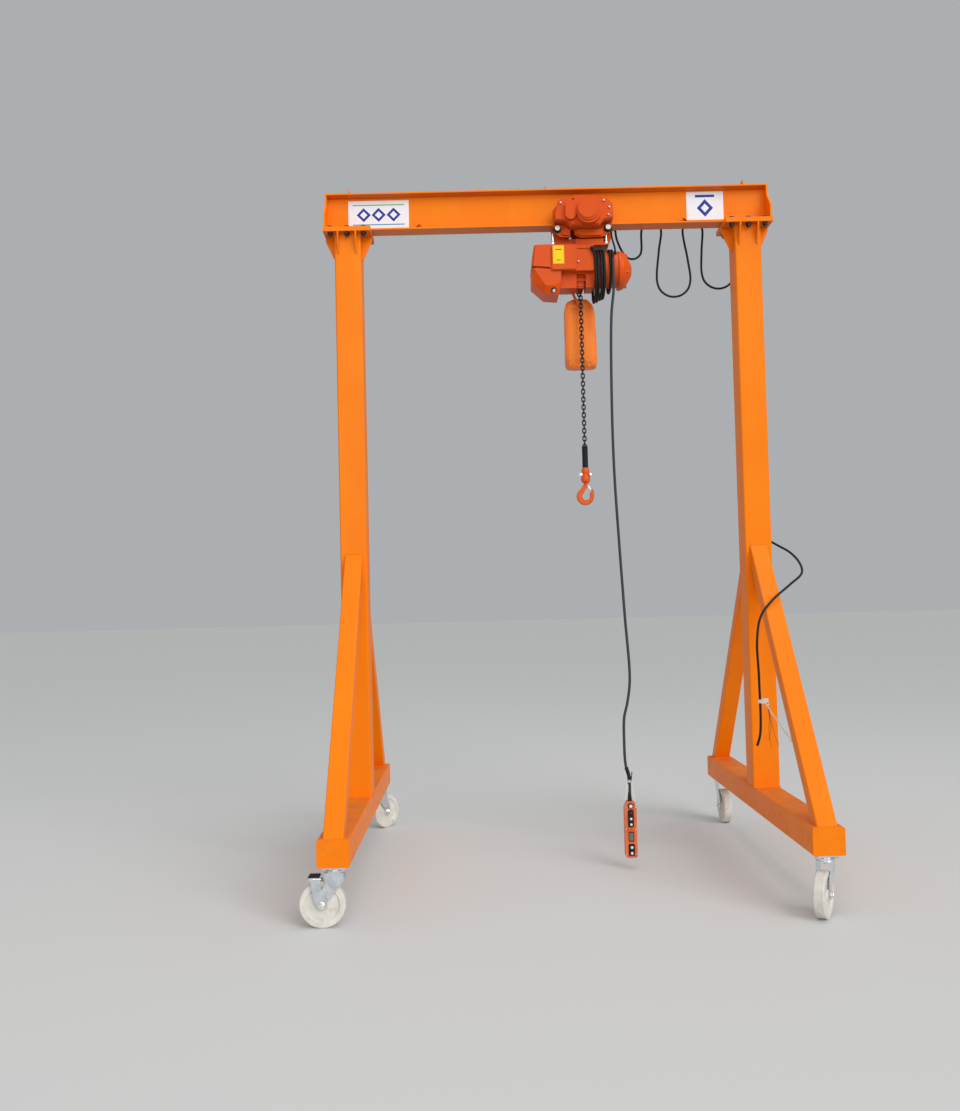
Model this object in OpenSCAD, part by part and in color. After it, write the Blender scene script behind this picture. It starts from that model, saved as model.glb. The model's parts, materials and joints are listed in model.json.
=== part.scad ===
// Mobile gantry crane with an electric chain hoist on a powered trolley.
// Millimetres, +Z up. X runs along the beam, the viewer stands on the -Y side.
// The origin is on the floor under the middle of the beam.

/* [Frame] */
// Distance between the centres of the two posts
span = 2120; // [1800:10:2600]
// Distance the beam runs on past the centre of each post, with its end plate
overhang = 120; // [100:5:200]
// Height of the underside of the beam above the floor
beam_under = 3370; // [2800:10:3800]
// Depth of the I-beam
beam_depth = 200; // [160:5:240]
// Flange width of the I-beam
flange_w = 100; // [80:2:120]
// Web thickness of the I-beam
web_t = 7; // [5:0.5:10]
// Outside width of the square posts
post_w = 140; // [120:5:160]
// Wall thickness of the posts
post_wall = 6; // [4:0.5:8]
// Width of the two base beams
base_w = 140; // [120:5:160]
// Height of the two base beams
base_h = 120; // [100:5:140]
// Length of the two base beams
base_length = 2100; // [1900:10:2400]
// Width of the sloping braces
brace_w = 90; // [70:5:100]
// Depth of the sloping braces, square to their length
brace_d = 70; // [50:5:90]
// Height of the top corner of the braces on the posts
brace_top = 1645; // [1300:5:1900]
// Distance of the brace toe from the end of the base beam
brace_toe = 15; // [5:1:60]

/* [Casters] */
// Wheel radius
wheel_r = 100; // [80:1:110]
// Wheel width
wheel_w = 46; // [36:1:50]
// Distance of the axle behind the swivel axis
trail = 55; // [40:1:60]
// Distance of the swivel axes from the ends of the base beams
caster_inset = 65; // [60:1:200]

/* [Trolley and hoist] */
// Middle of the trolley along the beam
trolley_x = 184; // [-400:1:300]
// Radius of the trolley wheels at the middle of the tread
roller_r = 53; // [45:1:58]
// Wire diameter of the load chain
chain_wire = 6.6; // [6:0.1:7]
// Pitch of the load chain
chain_pitch = 21; // [20:0.5:24]
// Number of links between the hoist and the hook block
chain_links = 49; // [20:1:60]
// Radius of the hook's bowl
bowl_r = 21; // [16:0.5:24]
// Distance of the festoon rail behind the web
rail_y = 180; // [160:5:220]
// Radius of the festoon cable and the supply lead
cable_r = 6; // [4:0.5:7]
// Radius of the pendant cable
pendant_r = 7; // [5:0.5:8]

/* [Fits] */
// Radial clearance of a turning fit
run_fit = 0.1; // [0.05:0.05:0.3]
// Gap between faces that slide or roll on each other
face_gap = 0.3; // [0.2:0.1:0.8]

/* [Hidden] */
$fn = 64;
post_x = span / 2;
beam_top = beam_under + beam_depth;
base_under = 2 * wheel_r + 65;
base_top = base_under + base_h;
caster_y = base_length / 2 - caster_inset;
base_wall = 5;
brace_wall = 4;
foot_t = 12;
foot_l = 2 * overhang + 10;
foot_w = 230;
head_under = beam_under - 2 * foot_t;
bolt_x = foot_l / 2 - 37;
bolt_y = foot_w / 2 - 25;
end_t = 10;
flange_edge = 8;
tread_y = 35;
stop_left = 379 - post_x;
stop_right = post_x - 332;
axle_up = flange_edge + (flange_w / 2 - tread_y) / 6 + face_gap + roller_r;
axle_x = 78;
bar_x = 134;
bar_up = -31;
hoist_z = beam_under - 233;
bed_top = -106;
bed_t = 8;
chain_x = trolley_x - 12;
chain_top = -62;
last_z = hoist_z + chain_top - (chain_links - 1) * chain_pitch;
slack_y = 74;
link_bend = 8.5;
chain_bore = link_bend + chain_wire / 2 + face_gap;
motor_r = 94;
motor_x = 66;
bowl_z = -139;
pend_x = trolley_x + 154;
pend_y = -132;
pend_top = 345;
tow_x = trolley_x + 209;
clamp_x = post_x - 8;
carrier_x1 = tow_x + 0.302 * (clamp_x - tow_x);
carrier_x2 = tow_x + 0.648 * (clamp_x - tow_x);
saddle_z = beam_top - 99 - cable_r - face_gap;
drive_lead_r = 5;
orange = [0.95, 0.45, 0.05];
red_orange = [0.9, 0.32, 0.06];
zinc = [0.72, 0.74, 0.76];
dark = [0.12, 0.12, 0.13];
nylon = [0.9, 0.89, 0.85];

// A rectangle with round corners, for tubes and plates.
module round_rect(w, h, r) {
    square([w - 2 * r, h], center = true);
    square([w, h - 2 * r], center = true);
    for (i = [-1, 1], j = [-1, 1])
        translate([i * (w / 2 - r), j * (h / 2 - r)])
            circle(r = r, $fn = 32);
}

// Section of a square or rectangular tube with the given wall.
module tube_section(w, h, wall) {
    difference() {
        round_rect(w, h, 1.5 * wall);
        round_rect(w - 2 * wall, h - 2 * wall, wall / 2);
    }
}

// Turns a flat outline in (y, z) into a bar along X, centred on X = 0.
module along_x(length) {
    rotate([90, 0, 90])
        linear_extrude(length, center = true)
            children();
}

// Turns a flat outline in (x, z) into a slab from y0 to y1.
module slab_y(y0, y1) {
    translate([0, y1, 0])
        rotate([90, 0, 0])
            linear_extrude(y1 - y0)
                children();
}

module on_y(x, z, r, y0, y1) {
    translate([x, y1, z])
        rotate([90, 0, 0])
            cylinder(r = r, h = y1 - y0);
}

module hex_y(x, z, flat, y0, y1) {
    translate([x, y1, z])
        rotate([90, 0, 0])
            cylinder(r = flat / sqrt(3), h = y1 - y0, $fn = 6);
}

module block(x0, x1, y0, y1, z0, z1) {
    translate([x0, y0, z0])
        cube([x1 - x0, y1 - y0, z1 - z0]);
}

// Frames that the moving parts are drawn in: the beam's underside above the trolley's middle,
// the motor axis above the load chain, and the last link of the load chain.
module at_trolley() {
    translate([trolley_x, 0, beam_under])
        children();
}

module at_hoist() {
    translate([chain_x, 0, hoist_z])
        children();
}

module at_last_link() {
    translate([chain_x, 0, last_z])
        children();
}

// Rolled I-section with flanges that taper one in six.
module main_beam() {
    b = flange_w / 2;
    w = web_t / 2;
    tr = flange_edge + (b - w) / 6;
    h = beam_depth;
    color(orange)
        translate([0, 0, beam_under])
            along_x(span + 2 * (overhang - end_t))
                polygon([
                    [-b, 0], [b, 0], [b, flange_edge], [w, tr], [w, h - tr], [b, h - flange_edge],
                    [b, h], [-b, h], [-b, h - flange_edge], [-w, h - tr], [-w, tr], [-b, flange_edge]
                ]);
}

// The bolt holes that the beam foot and the post head share.
module foot_holes(x, r, z0, z1) {
    for (i = [-1, 0, 1], j = [-1, 1])
        translate([x + i * bolt_x, j * bolt_y, z0])
            cylinder(r = r, h = z1 - z0);
}

// Bolted foot plate and waisted end plate, welded to one end of the beam.
module beam_foot(side) {
    x = side * post_x;
    b = flange_w / 2;
    f = foot_w / 2;
    color(orange)
        difference() {
            union() {
                translate([x, 0, beam_under - foot_t / 2])
                    cube([foot_l, foot_w, foot_t], center = true);
                translate([side * (post_x + overhang - end_t / 2), 0, 0])
                    along_x(end_t)
                        polygon([
                            [-f, beam_under - foot_t], [f, beam_under - foot_t], [f, beam_under + 70],
                            [b + 2, beam_top - 62], [b, beam_top], [-b, beam_top],
                            [-b - 2, beam_top - 62], [-f, beam_under + 70]
                        ]);
            }
            foot_holes(x, 9, beam_under - foot_t - 1, beam_under + 1);
        }
}

// Plate on the post with two ribs front and back and a wide gusset at each side.
module post_head(side) {
    x = side * post_x;
    p = post_w / 2;
    top = head_under + 2;
    f = foot_w / 2 - 1;
    l = foot_l / 2 - 1;
    color(orange)
        difference() {
            union() {
                translate([x, 0, head_under + foot_t / 2])
                    cube([foot_l, foot_w, foot_t], center = true);
                for (i = [-1, 1], s = [-1, 1])
                    translate([x + i * (p - 23), 0, 0])
                        along_x(8)
                            polygon([
                                [s * p, top], [s * f, top], [s * f, head_under - 14],
                                [s * (p + 5), head_under - 106], [s * p, head_under - 106]
                            ]);
                for (s = [-1, 1])
                    slab_y(-4, 4)
                        polygon([
                            [x + s * p, top], [x + s * l, top], [x + s * l, head_under - 21],
                            [x + s * (p + 5), head_under - 127], [x + s * p, head_under - 127]
                        ]);
            }
            foot_holes(x, 9, head_under - 1, head_under + foot_t + 1);
        }
}

// Twelve bolts with heads on top and nuts and thread ends underneath.
module head_bolts() {
    color(dark)
        for (s = [-1, 1], i = [-1, 0, 1], j = [-1, 1])
            translate([s * post_x + i * bolt_x, j * bolt_y, 0]) {
                translate([0, 0, head_under - 22])
                    cylinder(r = 8, h = 2 * foot_t + 32);
                translate([0, 0, beam_under])
                    cylinder(r = 24 / sqrt(3), h = 10, $fn = 6);
                translate([0, 0, head_under - 14])
                    cylinder(r = 24 / sqrt(3), h = 14, $fn = 6);
            }
}

module post(side) {
    color(orange)
        translate([side * post_x, 0, base_top])
            linear_extrude(head_under - base_top)
                tube_section(post_w, post_w, post_wall);
}

module base_beam(side) {
    color(orange)
        translate([side * post_x, 0, base_under + base_h / 2])
            rotate([90, 0, 0])
                linear_extrude(base_length - 12, center = true)
                    tube_section(base_w, base_h, base_wall);
}

module base_end_caps() {
    color(orange)
        for (s = [-1, 1], t = [-1, 1])
            translate([s * post_x, t * (base_length / 2 - 3), base_under + base_h / 2])
                rotate([90, 0, 0])
                    linear_extrude(6, center = true)
                        round_rect(base_w, base_h, 1.5 * base_wall);
}

// One brace from the post face down to the end of the base beam.
module brace(x, s) {
    p = post_w / 2;
    run = base_length / 2 - brace_toe - p;
    rise = brace_top - base_top;
    lean = atan2(run, rise);
    long = sqrt(run * run + rise * rise) + 400;
    translate([x, 0, 0])
        difference() {
            translate([0, s * p, brace_top])
                rotate([s * lean, 0, 0])
                    translate([0, -s * brace_d / 2, -long / 2 + 150])
                        linear_extrude(long, center = true)
                            tube_section(brace_w, brace_d, brace_wall);
            block(-brace_w, brace_w, s > 0 ? p - 1000 : -p, s > 0 ? p : 1000 - p, 0, beam_top);
            block(-brace_w, brace_w, -base_length, base_length, base_top - 1000, base_top);
        }
}

module braces(side) {
    color(orange) {
        brace(side * post_x, -1);
        brace(side * post_x, 1);
    }
}

// Four stops: short lengths of angle bar, ridge up, across the bottom flange in front of the web
// and behind it. They lie on the taper.
module travel_stops() {
    slope = atan(1 / 6);
    color(orange)
        for (x = [stop_left, stop_right], s = [-1, 1])
            translate([x, s * flange_w / 2, beam_under + flange_edge])
                rotate([s * -slope, 0, 0])
                    slab_y(s > 0 ? -41 : 0, s > 0 ? 0 : 41)
                        polygon([[-22, 0], [-17, 0], [0, 17], [17, 0], [22, 0], [0, 22]]);
}

// Fixed plates with the boss that the swivel heads turn on.
module caster_plates() {
    color(zinc)
        for (s = [-1, 1], t = [-1, 1])
            translate([s * post_x, t * caster_y, base_under])
                difference() {
                    union() {
                        translate([0, 0, -6])
                            linear_extrude(6)
                                round_rect(105, 114, 6);
                        translate([0, 0, -18])
                            cylinder(r = 36, h = 14);
                    }
                    translate([0, 0, -20])
                        cylinder(r = 10 + run_fit, h = 16);
                }
}

// Swivel head, two legs and the axle bolt; the wheel trails along +X.
module fork_shape() {
    leg0 = wheel_w / 2 + 4;
    leg1 = leg0 + 5;
    head = base_under - 18 - face_gap;
    color(zinc) {
        translate([0, 0, head - 11])
            cylinder(r = 42, h = 11);
        translate([0, 0, head - 2])
            cylinder(r = 10, h = 13);
        block(-40, 44, -leg1, leg1, head - 17, head - 10.5);
        for (s = [-1, 1]) {
            slab_y(s > 0 ? leg0 : -leg1, s > 0 ? leg1 : -leg0) {
                polygon([
                    [-40, head - 11], [44, head - 11], [44, head - 50], [trail + 19, wheel_r + 10],
                    [trail + 19, wheel_r], [trail - 19, wheel_r], [trail - 26, wheel_r + 20],
                    [-40, head - 45]
                ]);
                translate([trail, wheel_r])
                    circle(r = 19);
            }
            hex_y(trail, wheel_r, 19, s > 0 ? leg1 - 1 : -leg1 - 8, s > 0 ? leg1 + 8 : -leg1 + 1);
        }
        on_y(trail, wheel_r, 6, -leg1, leg1);
    }
}

// Total-lock brake of the front left caster: two cheeks on the axle and a pedal behind the head.
module brake_shape() {
    y0 = wheel_w / 2 + 9;
    top = 2 * wheel_r;
    color(zinc) {
        for (s = [-1, 1])
            slab_y(s > 0 ? y0 : -y0 - 3, s > 0 ? y0 + 3 : -y0)
                difference() {
                    polygon([
                        [trail - 14, wheel_r - 16], [trail + 14, wheel_r - 16], [trail + 34, wheel_r + 20],
                        [trail + 50, top + 8], [trail + 50, top + 18], [trail + 6, top + 18],
                        [trail + 4, top - 14], [trail - 14, wheel_r + 16]
                    ]);
                    translate([trail, wheel_r])
                        circle(r = 11.5);
                }
        block(trail + 6, trail + 58, -y0 - 3, y0 + 3, top + 8, top + 18);
    }
}

// Nylon wheel with a dished web on both faces.
module wheel_shape() {
    h = wheel_w / 2;
    color(nylon)
        translate([trail, 0, wheel_r])
            rotate([90, 0, 0])
                rotate_extrude($fn = 96)
                    polygon([
                        [6 + run_fit, -h - 2], [24, -h - 2], [26, -h + 6], [70, -h + 6], [76, -h],
                        [wheel_r - 4, -h], [wheel_r, -h + 4], [wheel_r, h - 4], [wheel_r - 4, h],
                        [76, h], [70, h - 6], [26, h - 6], [24, h + 2], [6 + run_fit, h + 2]
                    ]);
}

module at_caster(sx, sy, turn) {
    translate([sx * post_x, sy * caster_y, 0])
        rotate([0, 0, turn])
            children();
}

// Angle arms across the beam top that carry the festoon rail.
module rail_arms() {
    color(orange)
        for (x = [-post_x, 0, post_x])
            translate([x, 0, beam_top]) {
                block(-2, 2, -8, rail_y + 14, 0, 40);
                block(-2, 38, -8, rail_y + 14, 0, 4);
            }
}

// Channel rail, open below, for the cable carriers.
module festoon_rail() {
    color(zinc)
        translate([0, rail_y, beam_top])
            along_x(span + 90)
                polygon([
                    [-16, 0], [16, 0], [16, -32], [5, -32], [5, -30], [14, -30], [14, -2],
                    [-14, -2], [-14, -30], [-5, -30], [-5, -32], [-16, -32]
                ]);
}

// Carrier: a bogie inside the rail, a neck and a round saddle for the cable.
module carrier(x) {
    color(dark)
        translate([x, rail_y, beam_top]) {
            block(-16, 16, -10, 10, face_gap - 30, -8);
            block(-10, 10, -3, 3, -76, -20);
            slab_y(-12, 12)
                polygon([[-16, -76], [16, -76], [18, -90], [12, -99], [-12, -99], [-18, -90]]);
        }
}

// Clamp under the rail above the right post; the festoon and the supply lead meet in it.
module rail_end_clamp() {
    color(dark)
        translate([post_x, rail_y, beam_top])
            block(-20, 20, -12, 12, face_gap - 90, -32);
}

// Side plate with two wheel studs; s is -1 in front of the beam, +1 behind it. Its lower edge
// has two lobes; in front they are thicker.
module trolley_side(s) {
    color(red_orange)
        at_trolley()
            difference() {
                union() {
                    slab_y(s > 0 ? 66 : -76, s > 0 ? 76 : -66)
                        polygon([
                            [-155, -28], [-148, -48], [-118, -72], [-66, -75], [-62, -34], [-48, -24],
                            [-39, -62], [-10, -76], [110, -73], [142, -52], [157, -25], [157, 70],
                            [115, 120], [-115, 120], [-155, 70]
                        ]);
                    if (s < 0) {
                        slab_y(-88, -75)
                            polygon([[-106, -64], [-70, -67], [-69, -40], [-84, -28], [-110, -42]]);
                        slab_y(-88, -75)
                            polygon([
                                [-36, -58], [-8, -70], [100, -68], [108, -58], [108, -36], [-28, -36]
                            ]);
                    }
                    for (i = [-1, 1]) {
                        on_y(i * axle_x, axle_up, 12, s > 0 ? 14 : -70, s > 0 ? 70 : -14);
                        on_y(i * axle_x, axle_up, 20, s > 0 ? 62 : -66.5, s > 0 ? 66.5 : -62);
                    }
                    if (s > 0)
                        for (i = [-1, 1])
                            hex_y(i * axle_x, axle_up, 30, 75, 88);
                }
                for (i = [-1, 1])
                    on_y(i * bar_x, bar_up, 13.2, s > 0 ? 60 : -80, s > 0 ? 80 : -60);
            }
}

// Flanged wheel with a coned tread that follows the tapered flange.
module trolley_wheel(i, s) {
    r_in = roller_r - (tread_y - 20) / 6;
    r_out = roller_r + (flange_w / 2 - tread_y) / 6;
    color(dark)
        at_trolley()
            translate([i * axle_x, 0, axle_up])
                rotate([s > 0 ? -90 : 90, 0, 0])
                    rotate_extrude($fn = 96)
                        polygon([
                            [12 + run_fit, 20], [r_in, 20], [r_out, 50], [r_out, 54.5],
                            [roller_r + 10, 55.5], [roller_r + 10, 60], [roller_r + 8, 61.5],
                            [12 + run_fit, 61.5]
                        ]);
}

// Gearbox and motor covers on the front side plate.
module trolley_drive() {
    color(red_orange)
        at_trolley()
            difference() {
                union() {
                    slab_y(-143, -76)
                        polygon([
                            [-149, -4], [-149, 34], [-132, 96], [-92, 115], [-44, 123], [48, 123],
                            [126, 106], [156, 76], [157, 2], [106, -10], [84, -34], [-66, -34], [-94, -10]
                        ]);
                    slab_y(-150, -142)
                        polygon([
                            [-144, 0], [-144, 33], [-128, 92], [-90, 110], [-44, 118], [47, 118],
                            [123, 101], [151, 73], [152, 6], [104, -5], [82, -29], [-64, -29], [-92, -5]
                        ]);
                    on_y(24, 29, 65, -186, -149);
                    on_y(21, 34, 57, -194, -185);
                    on_y(19, 37, 50, -200, -193);
                    on_y(-69, 16, 27, -176, -149);
                    on_y(-69, 64, 27, -176, -149);
                    block(-96, -42, -176, -149, 16, 64);
                    for (p = [[-118, 84], [108, 92], [136, 56], [130, 16]])
                        on_y(p[0], p[1], 7, -155, -149);
                }
                on_y(-52, 103, 5.5, -160, -140);
            }
}

// Two cross bars under the beam that tie the side plates.
module cross_bars() {
    color(zinc)
        at_trolley()
            for (i = [-1, 1]) {
                x = i * bar_x;
                on_y(x, bar_up, 13, -102, 102);
                on_y(x, bar_up, 21, -80, -76);
                on_y(x, bar_up, 21, 76, 80);
                hex_y(x, bar_up, 30, -96, -79);
                hex_y(x, bar_up, 30, 79, 96);
            }
}

// Hanger plates on the cross bars, with the bed that carries the hoist.
module hoist_hanger() {
    low = bed_top - bed_t;
    color(red_orange)
        at_trolley()
            difference() {
                union() {
                    for (s = [-1, 1])
                        slab_y(s > 0 ? 22 : -34, s > 0 ? 34 : -22)
                            polygon([
                                [-156, low], [132, low], [158, -70], [158, -40], [148, -10], [110, -10],
                                [84, -70], [-84, -70], [-110, -10], [-148, -10], [-158, -40]
                            ]);
                    block(-170, 140, -64, 64, low, bed_top);
                    block(-36, 112, -58, 58, bed_top - 1, -78);
                }
                for (i = [-1, 1])
                    on_y(i * bar_x, bar_up, 13.2, -40, 40);
            }
}

// Two guard bolts that stand on the bed beside the side plates.
module guard_bolts() {
    color(zinc)
        at_trolley()
            for (x = [-156, 127])
                translate([x, -50, bed_top]) {
                    cylinder(r = 7, h = 59);
                    cylinder(r = 22 / sqrt(3), h = 11, $fn = 6);
                }
}

// Arm on the rear side plate that tows the first end of the festoon.
module tow_arm() {
    tip = tow_x - trolley_x + 7;
    color(dark)
        at_trolley() {
            block(122, 150, 76, rail_y + 8, 70, 76);
            block(122, tip, rail_y - 6, rail_y + 8, 70, 92);
            block(tip - 26, tip, rail_y - 12, rail_y + 14, 46 + face_gap, 94);
        }
}

// Gearbox and electrical case on the left of the hoist: an upper case with bevelled edges, a
// faceted lower cover below a seam, a flat front cover and a bracket beside the chain.
module gear_case() {
    color(red_orange)
        at_hoist() {
            hull() {
                slab_y(-96, 96)
                    polygon([[-262, 1], [-249, 108], [-240, 117], [-140, 117], [-140, -10]]);
                slab_y(-105, 105)
                    polygon([[-254, 2], [-242, 104], [-235, 109], [-140, 109], [-140, -9]]);
            }
            slab_y(-105, 105)
                polygon([
                    [-170, 109], [-170, -6], [-162, -15], [-108, -21], [-39, -29], [-24, -28], [-24, 109]
                ]);
            slab_y(-96, 96)
                polygon([[-145, 117], [-145, 60], [-24, 60], [-24, 117]]);
            hull() {
                slab_y(-74, 74)
                    polygon([
                        [-261, -2], [-262, -81], [-195, -142], [-122, -149], [-118, -106],
                        [-118, -24], [-176, -9]
                    ]);
                slab_y(-103, 103)
                    polygon([[-252, -8], [-108, -22], [-110, -78], [-142, -105], [-191, -101]]);
            }
            block(-240, -112, -90, 90, -40, 40);
            slab_y(-113, -104)
                polygon([
                    [-158, -22], [-153, -26], [-32, -26], [-27, -22], [-27, 101], [-32, 106],
                    [-153, 106], [-158, 101]
                ]);
            slab_y(-118, -112)
                polygon([
                    [-154, -19], [-150, -22], [-35, -22], [-31, -19], [-31, 98], [-35, 102],
                    [-150, 102], [-154, 98]
                ]);
            block(-120, -24, -60, 60, -108, -20);
        }
}

// Block between the case and the motor, with the slot, the lug and the screw of its front cover.
module centre_block() {
    color(red_orange)
        at_hoist()
            difference() {
                union() {
                    block(-24, motor_x, -100, 100, -27, 108);
                    block(-24, motor_x, -60, 60, -33, beam_under + bed_top - bed_t - hoist_z);
                    block(24.5, motor_x, -60, 60, -106, -26);
                    on_y(-16, 21, 7, -105, -99);
                    block(36, 56, -105, -99, 84, 102);
                }
                block(-20, 34, -104, -94, 85, 92);
                translate([0, 0, -37])
                    cylinder(r = chain_bore, h = 12);
            }
}

// Stepped block with the two mouths for the load side and the slack side of the chain.
module chain_guide() {
    color(red_orange)
        at_hoist()
            difference() {
                union() {
                    block(-17, 17, -27, slack_y + 17, -100, -33);
                    block(-24, 24, -32, slack_y + 22, -65, -47);
                    block(-24, 24, -32, slack_y + 22, -41, -33);
                    block(-19, 19, -30, slack_y + 20, -92, -77);
                }
                for (y = [0, slack_y])
                    translate([0, y, -107])
                        cylinder(r = chain_bore, h = 80);
            }
}

module hoist_motor() {
    color(red_orange)
        at_hoist()
            translate([motor_x, 0, 0])
                rotate([0, 90, 0])
                    cylinder(r = motor_r, h = 134, $fn = 96);
}

// Fan cover at the right end of the motor, with four screw bosses on its slope.
module end_bell() {
    x = motor_x + 134;
    color(red_orange)
        at_hoist()
            translate([x, 0, -6])
                rotate([0, 90, 0]) {
                    rotate_extrude($fn = 96)
                        polygon([
                            [0, 0], [103, 0], [103, 11], [98, 24], [86, 40], [66, 54], [38, 70],
                            [30, 73], [0, 73]
                        ]);
                    for (a = [20:90:290])
                        rotate([0, 0, a])
                            translate([82, 0, 20])
                                cylinder(r = 8, h = 30);
                }
}

// One oval band that stands for two turns of the pendant cable laid side by side.
module band(x0, low) {
    inner = motor_r + 5;
    outer = inner + 2 * pendant_r;
    zc1 = -5 + face_gap;
    zc0 = low + outer;
    translate([x0, 0, 0])
        rotate([90, 0, 90])
            linear_extrude(4 * pendant_r)
                difference() {
                    union() {
                        translate([0, zc1])
                            circle(r = outer, $fn = 96);
                        translate([0, zc0])
                            circle(r = outer, $fn = 96);
                        translate([-outer, zc0])
                            square([2 * outer, zc1 - zc0]);
                    }
                    translate([0, zc1])
                        circle(r = inner, $fn = 96);
                    translate([0, zc0])
                        circle(r = inner, $fn = 96);
                    translate([-inner, zc0])
                        square([2 * inner, zc1 - zc0]);
                }
}

module cable_winding() {
    color(dark)
        at_hoist() {
            band(motor_x + 0.5, -176);
            band(motor_x + 32, -161);
            band(motor_x + 80, -127);
        }
}

// Chain bag with an open mouth, hung from a strap under the gear case.
module chain_bag() {
    x0 = -83;
    x1 = 85;
    y0 = 46;
    y1 = 146;
    color(orange)
        at_hoist() {
            difference() {
                slab_y(y0, y1)
                    polygon([
                        [x0 + 6, -510], [x1 - 2, -510], [x1 + 4, -497], [x1 - 2, -215], [x1 - 24, -168],
                        [x1 - 52, -134], [x0 + 52, -134], [x0 + 16, -151], [x0, -187], [x0, -497]
                    ]);
                slab_y(y0 + 4, y1 - 4)
                    polygon([
                        [x0 + 8, -503], [x1 - 4, -503], [x1 - 6, -217], [x1 - 28, -172],
                        [x1 - 52, -140], [x0 + 52, -140], [x0 + 20, -155], [x0 + 4, -189]
                    ]);
                block(x0 + 40, x1 - 40, y0 + 12, y1 - 12, -150, -120);
            }
            slab_y(y0 - 6, y0 + 1)
                polygon([[-42, -108], [-28, -108], [-4, -160], [-18, -160]]);
        }
}

// One chain link standing in the XZ plane, centred on the origin.
module link() {
    r = chain_wire / 2;
    half = (chain_pitch + chain_wire + 0.4) / 2 - link_bend;
    for (s = [-1, 1]) {
        translate([s * link_bend, 0, -half])
            cylinder(r = r, h = 2 * half, $fn = 24);
        translate([0, 0, s * half])
            rotate([90, 0, s > 0 ? 0 : 180])
                rotate([0, 0, s > 0 ? 0 : 180])
                    rotate_extrude(angle = 180, $fn = 32)
                        translate([link_bend, 0])
                            circle(r = r, $fn = 24);
    }
}

// Links one below the other, each a quarter turn from the last.
module chain_run(count) {
    color(dark)
        at_hoist()
            for (i = [0:count - 1])
                translate([0, 0, chain_top - i * chain_pitch])
                    rotate([0, 0, i % 2 == 0 ? 0 : 90])
                        link();
}

module load_chain() {
    chain_run(chain_links);
}

module slack_chain() {
    translate([0, slack_y, 0])
        chain_run(9);
}

// Ribbed buffer sleeve on the chain above the hook block.
module chain_buffer() {
    ribs = 12;
    rib = 9.7;
    r = chain_bore + 0.5;
    color(dark)
        at_last_link()
            translate([0, 0, 12])
                rotate_extrude()
                    polygon(concat(
                        [[r, 0]],
                        [for (i = [0:ribs - 1], p = [[1.4, 0], [3, 2], [3, 7.7]])
                            [r + p[0], i * rib + p[1]]],
                        [[r + 1.4, ribs * rib], [r, ribs * rib]]
                    ));
}

// Split housing that holds the last link on a pin and the neck of the hook below. It has two
// lobes with a waist between them, and an ear with a bolt at each side of the waist.
module hook_block() {
    color(red_orange)
        at_last_link() {
            difference() {
                union() {
                    rotate_extrude($fn = 96)
                        polygon([
                            [0, 12], [14.8, 12], [19, 6], [21.5, -8], [19.5, -18], [18.4, -25],
                            [20, -32], [24, -40], [25, -50], [23, -60], [17, -67], [13.5, -69], [0, -69]
                        ]);
                    block(-24, 24, -9, 9, -31, -19);
                    for (i = [-1, 1])
                        on_y(i * 24, -25, 6.5, -13, 13);
                }
                translate([0, 0, -59])
                    cylinder(r = 15, h = 60);
                translate([0, 0, -10])
                    cylinder(r = chain_bore, h = 30);
                translate([0, 0, -80])
                    cylinder(r = 9 + run_fit, h = 30);
            }
            on_y(0, -7.4, 3, -20, 20);
            for (i = [-1, 1])
                hex_y(i * 24, -25, 8, -18, -12.5);
        }
}

// Forged hook with an off-centre back that is thickest at the left and thins towards the point.
module load_hook() {
    b = bowl_r;
    color(red_orange)
        at_last_link() {
            translate([0, 0, -59 + face_gap])
                cylinder(r = 13, h = 13);
            translate([0, 0, bowl_z + 60])
                cylinder(r = 9, h = -bowl_z - 60 - 50);
            translate([0, 0, bowl_z])
                difference() {
                    union() {
                        translate([-4, 0, -2])
                            rotate([90, 0, 0])
                                rotate_extrude($fn = 96)
                                    polygon([
                                        [0, -12], [b + 19, -12], [b + 23, -10], [b + 25, -5],
                                        [b + 25, 5], [b + 23, 10], [b + 19, 12], [0, 12]
                                    ]);
                        slab_y(-10, 10)
                            polygon([
                                [-38, 26], [-24, 45], [-16, 58], [16, 58], [19, 52], [18, 48],
                                [8, 46], [-3, 34], [-16, 8]
                            ]);
                        slab_y(-8, 8)
                            polygon([
                                [b - 2, -8], [b + 21, -8], [b + 20.4, 20], [b + 18, 31], [b + 15, 36],
                                [b + 11, 36.4], [b + 7.5, 32.6]
                            ]);
                        translate([0, 0, 57])
                            cylinder(r = 12, h = 9);
                    }
                    on_y(0, 0, b, -20, 20);
                    for (s = [-1, 1])
                        rotate([s * 90, 0, 0])
                            translate([0, 0, 8])
                                cylinder(r1 = b, r2 = b + 5, h = 5);
                    slab_y(-20, 20)
                        polygon([
                            [-16, 8], [-3, 34], [8, 46], [18, 48], [30, 50], [b + 11, 40],
                            [b + 7.5, 32.6], [b, 14], [b, 0], [0, 0]
                        ]);
                }
            on_y(12, bowl_z + 53, 2.5, -13.5, 13.5);
        }
}

// Sprung latch: two cheeks beside the neck and a strip that closes the mouth.
module hook_latch() {
    color(dark)
        at_last_link()
            translate([0, 0, bowl_z])
                difference() {
                    union() {
                        for (s = [-1, 1])
                            slab_y(s > 0 ? 10.4 : -12, s > 0 ? 12 : -10.4)
                                polygon([
                                    [7, 56.5], [16, 56.5], [20, 50], [27, 34], [25.4, 30],
                                    [22.5, 31], [7, 50]
                                ]);
                        slab_y(-12, 12)
                            polygon([[19.5, 46], [21.75, 46], [27, 34], [25.4, 30], [24, 30.5]]);
                    }
                    on_y(12, 53, 2.5 + run_fit, -20, 20);
                }
}

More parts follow.
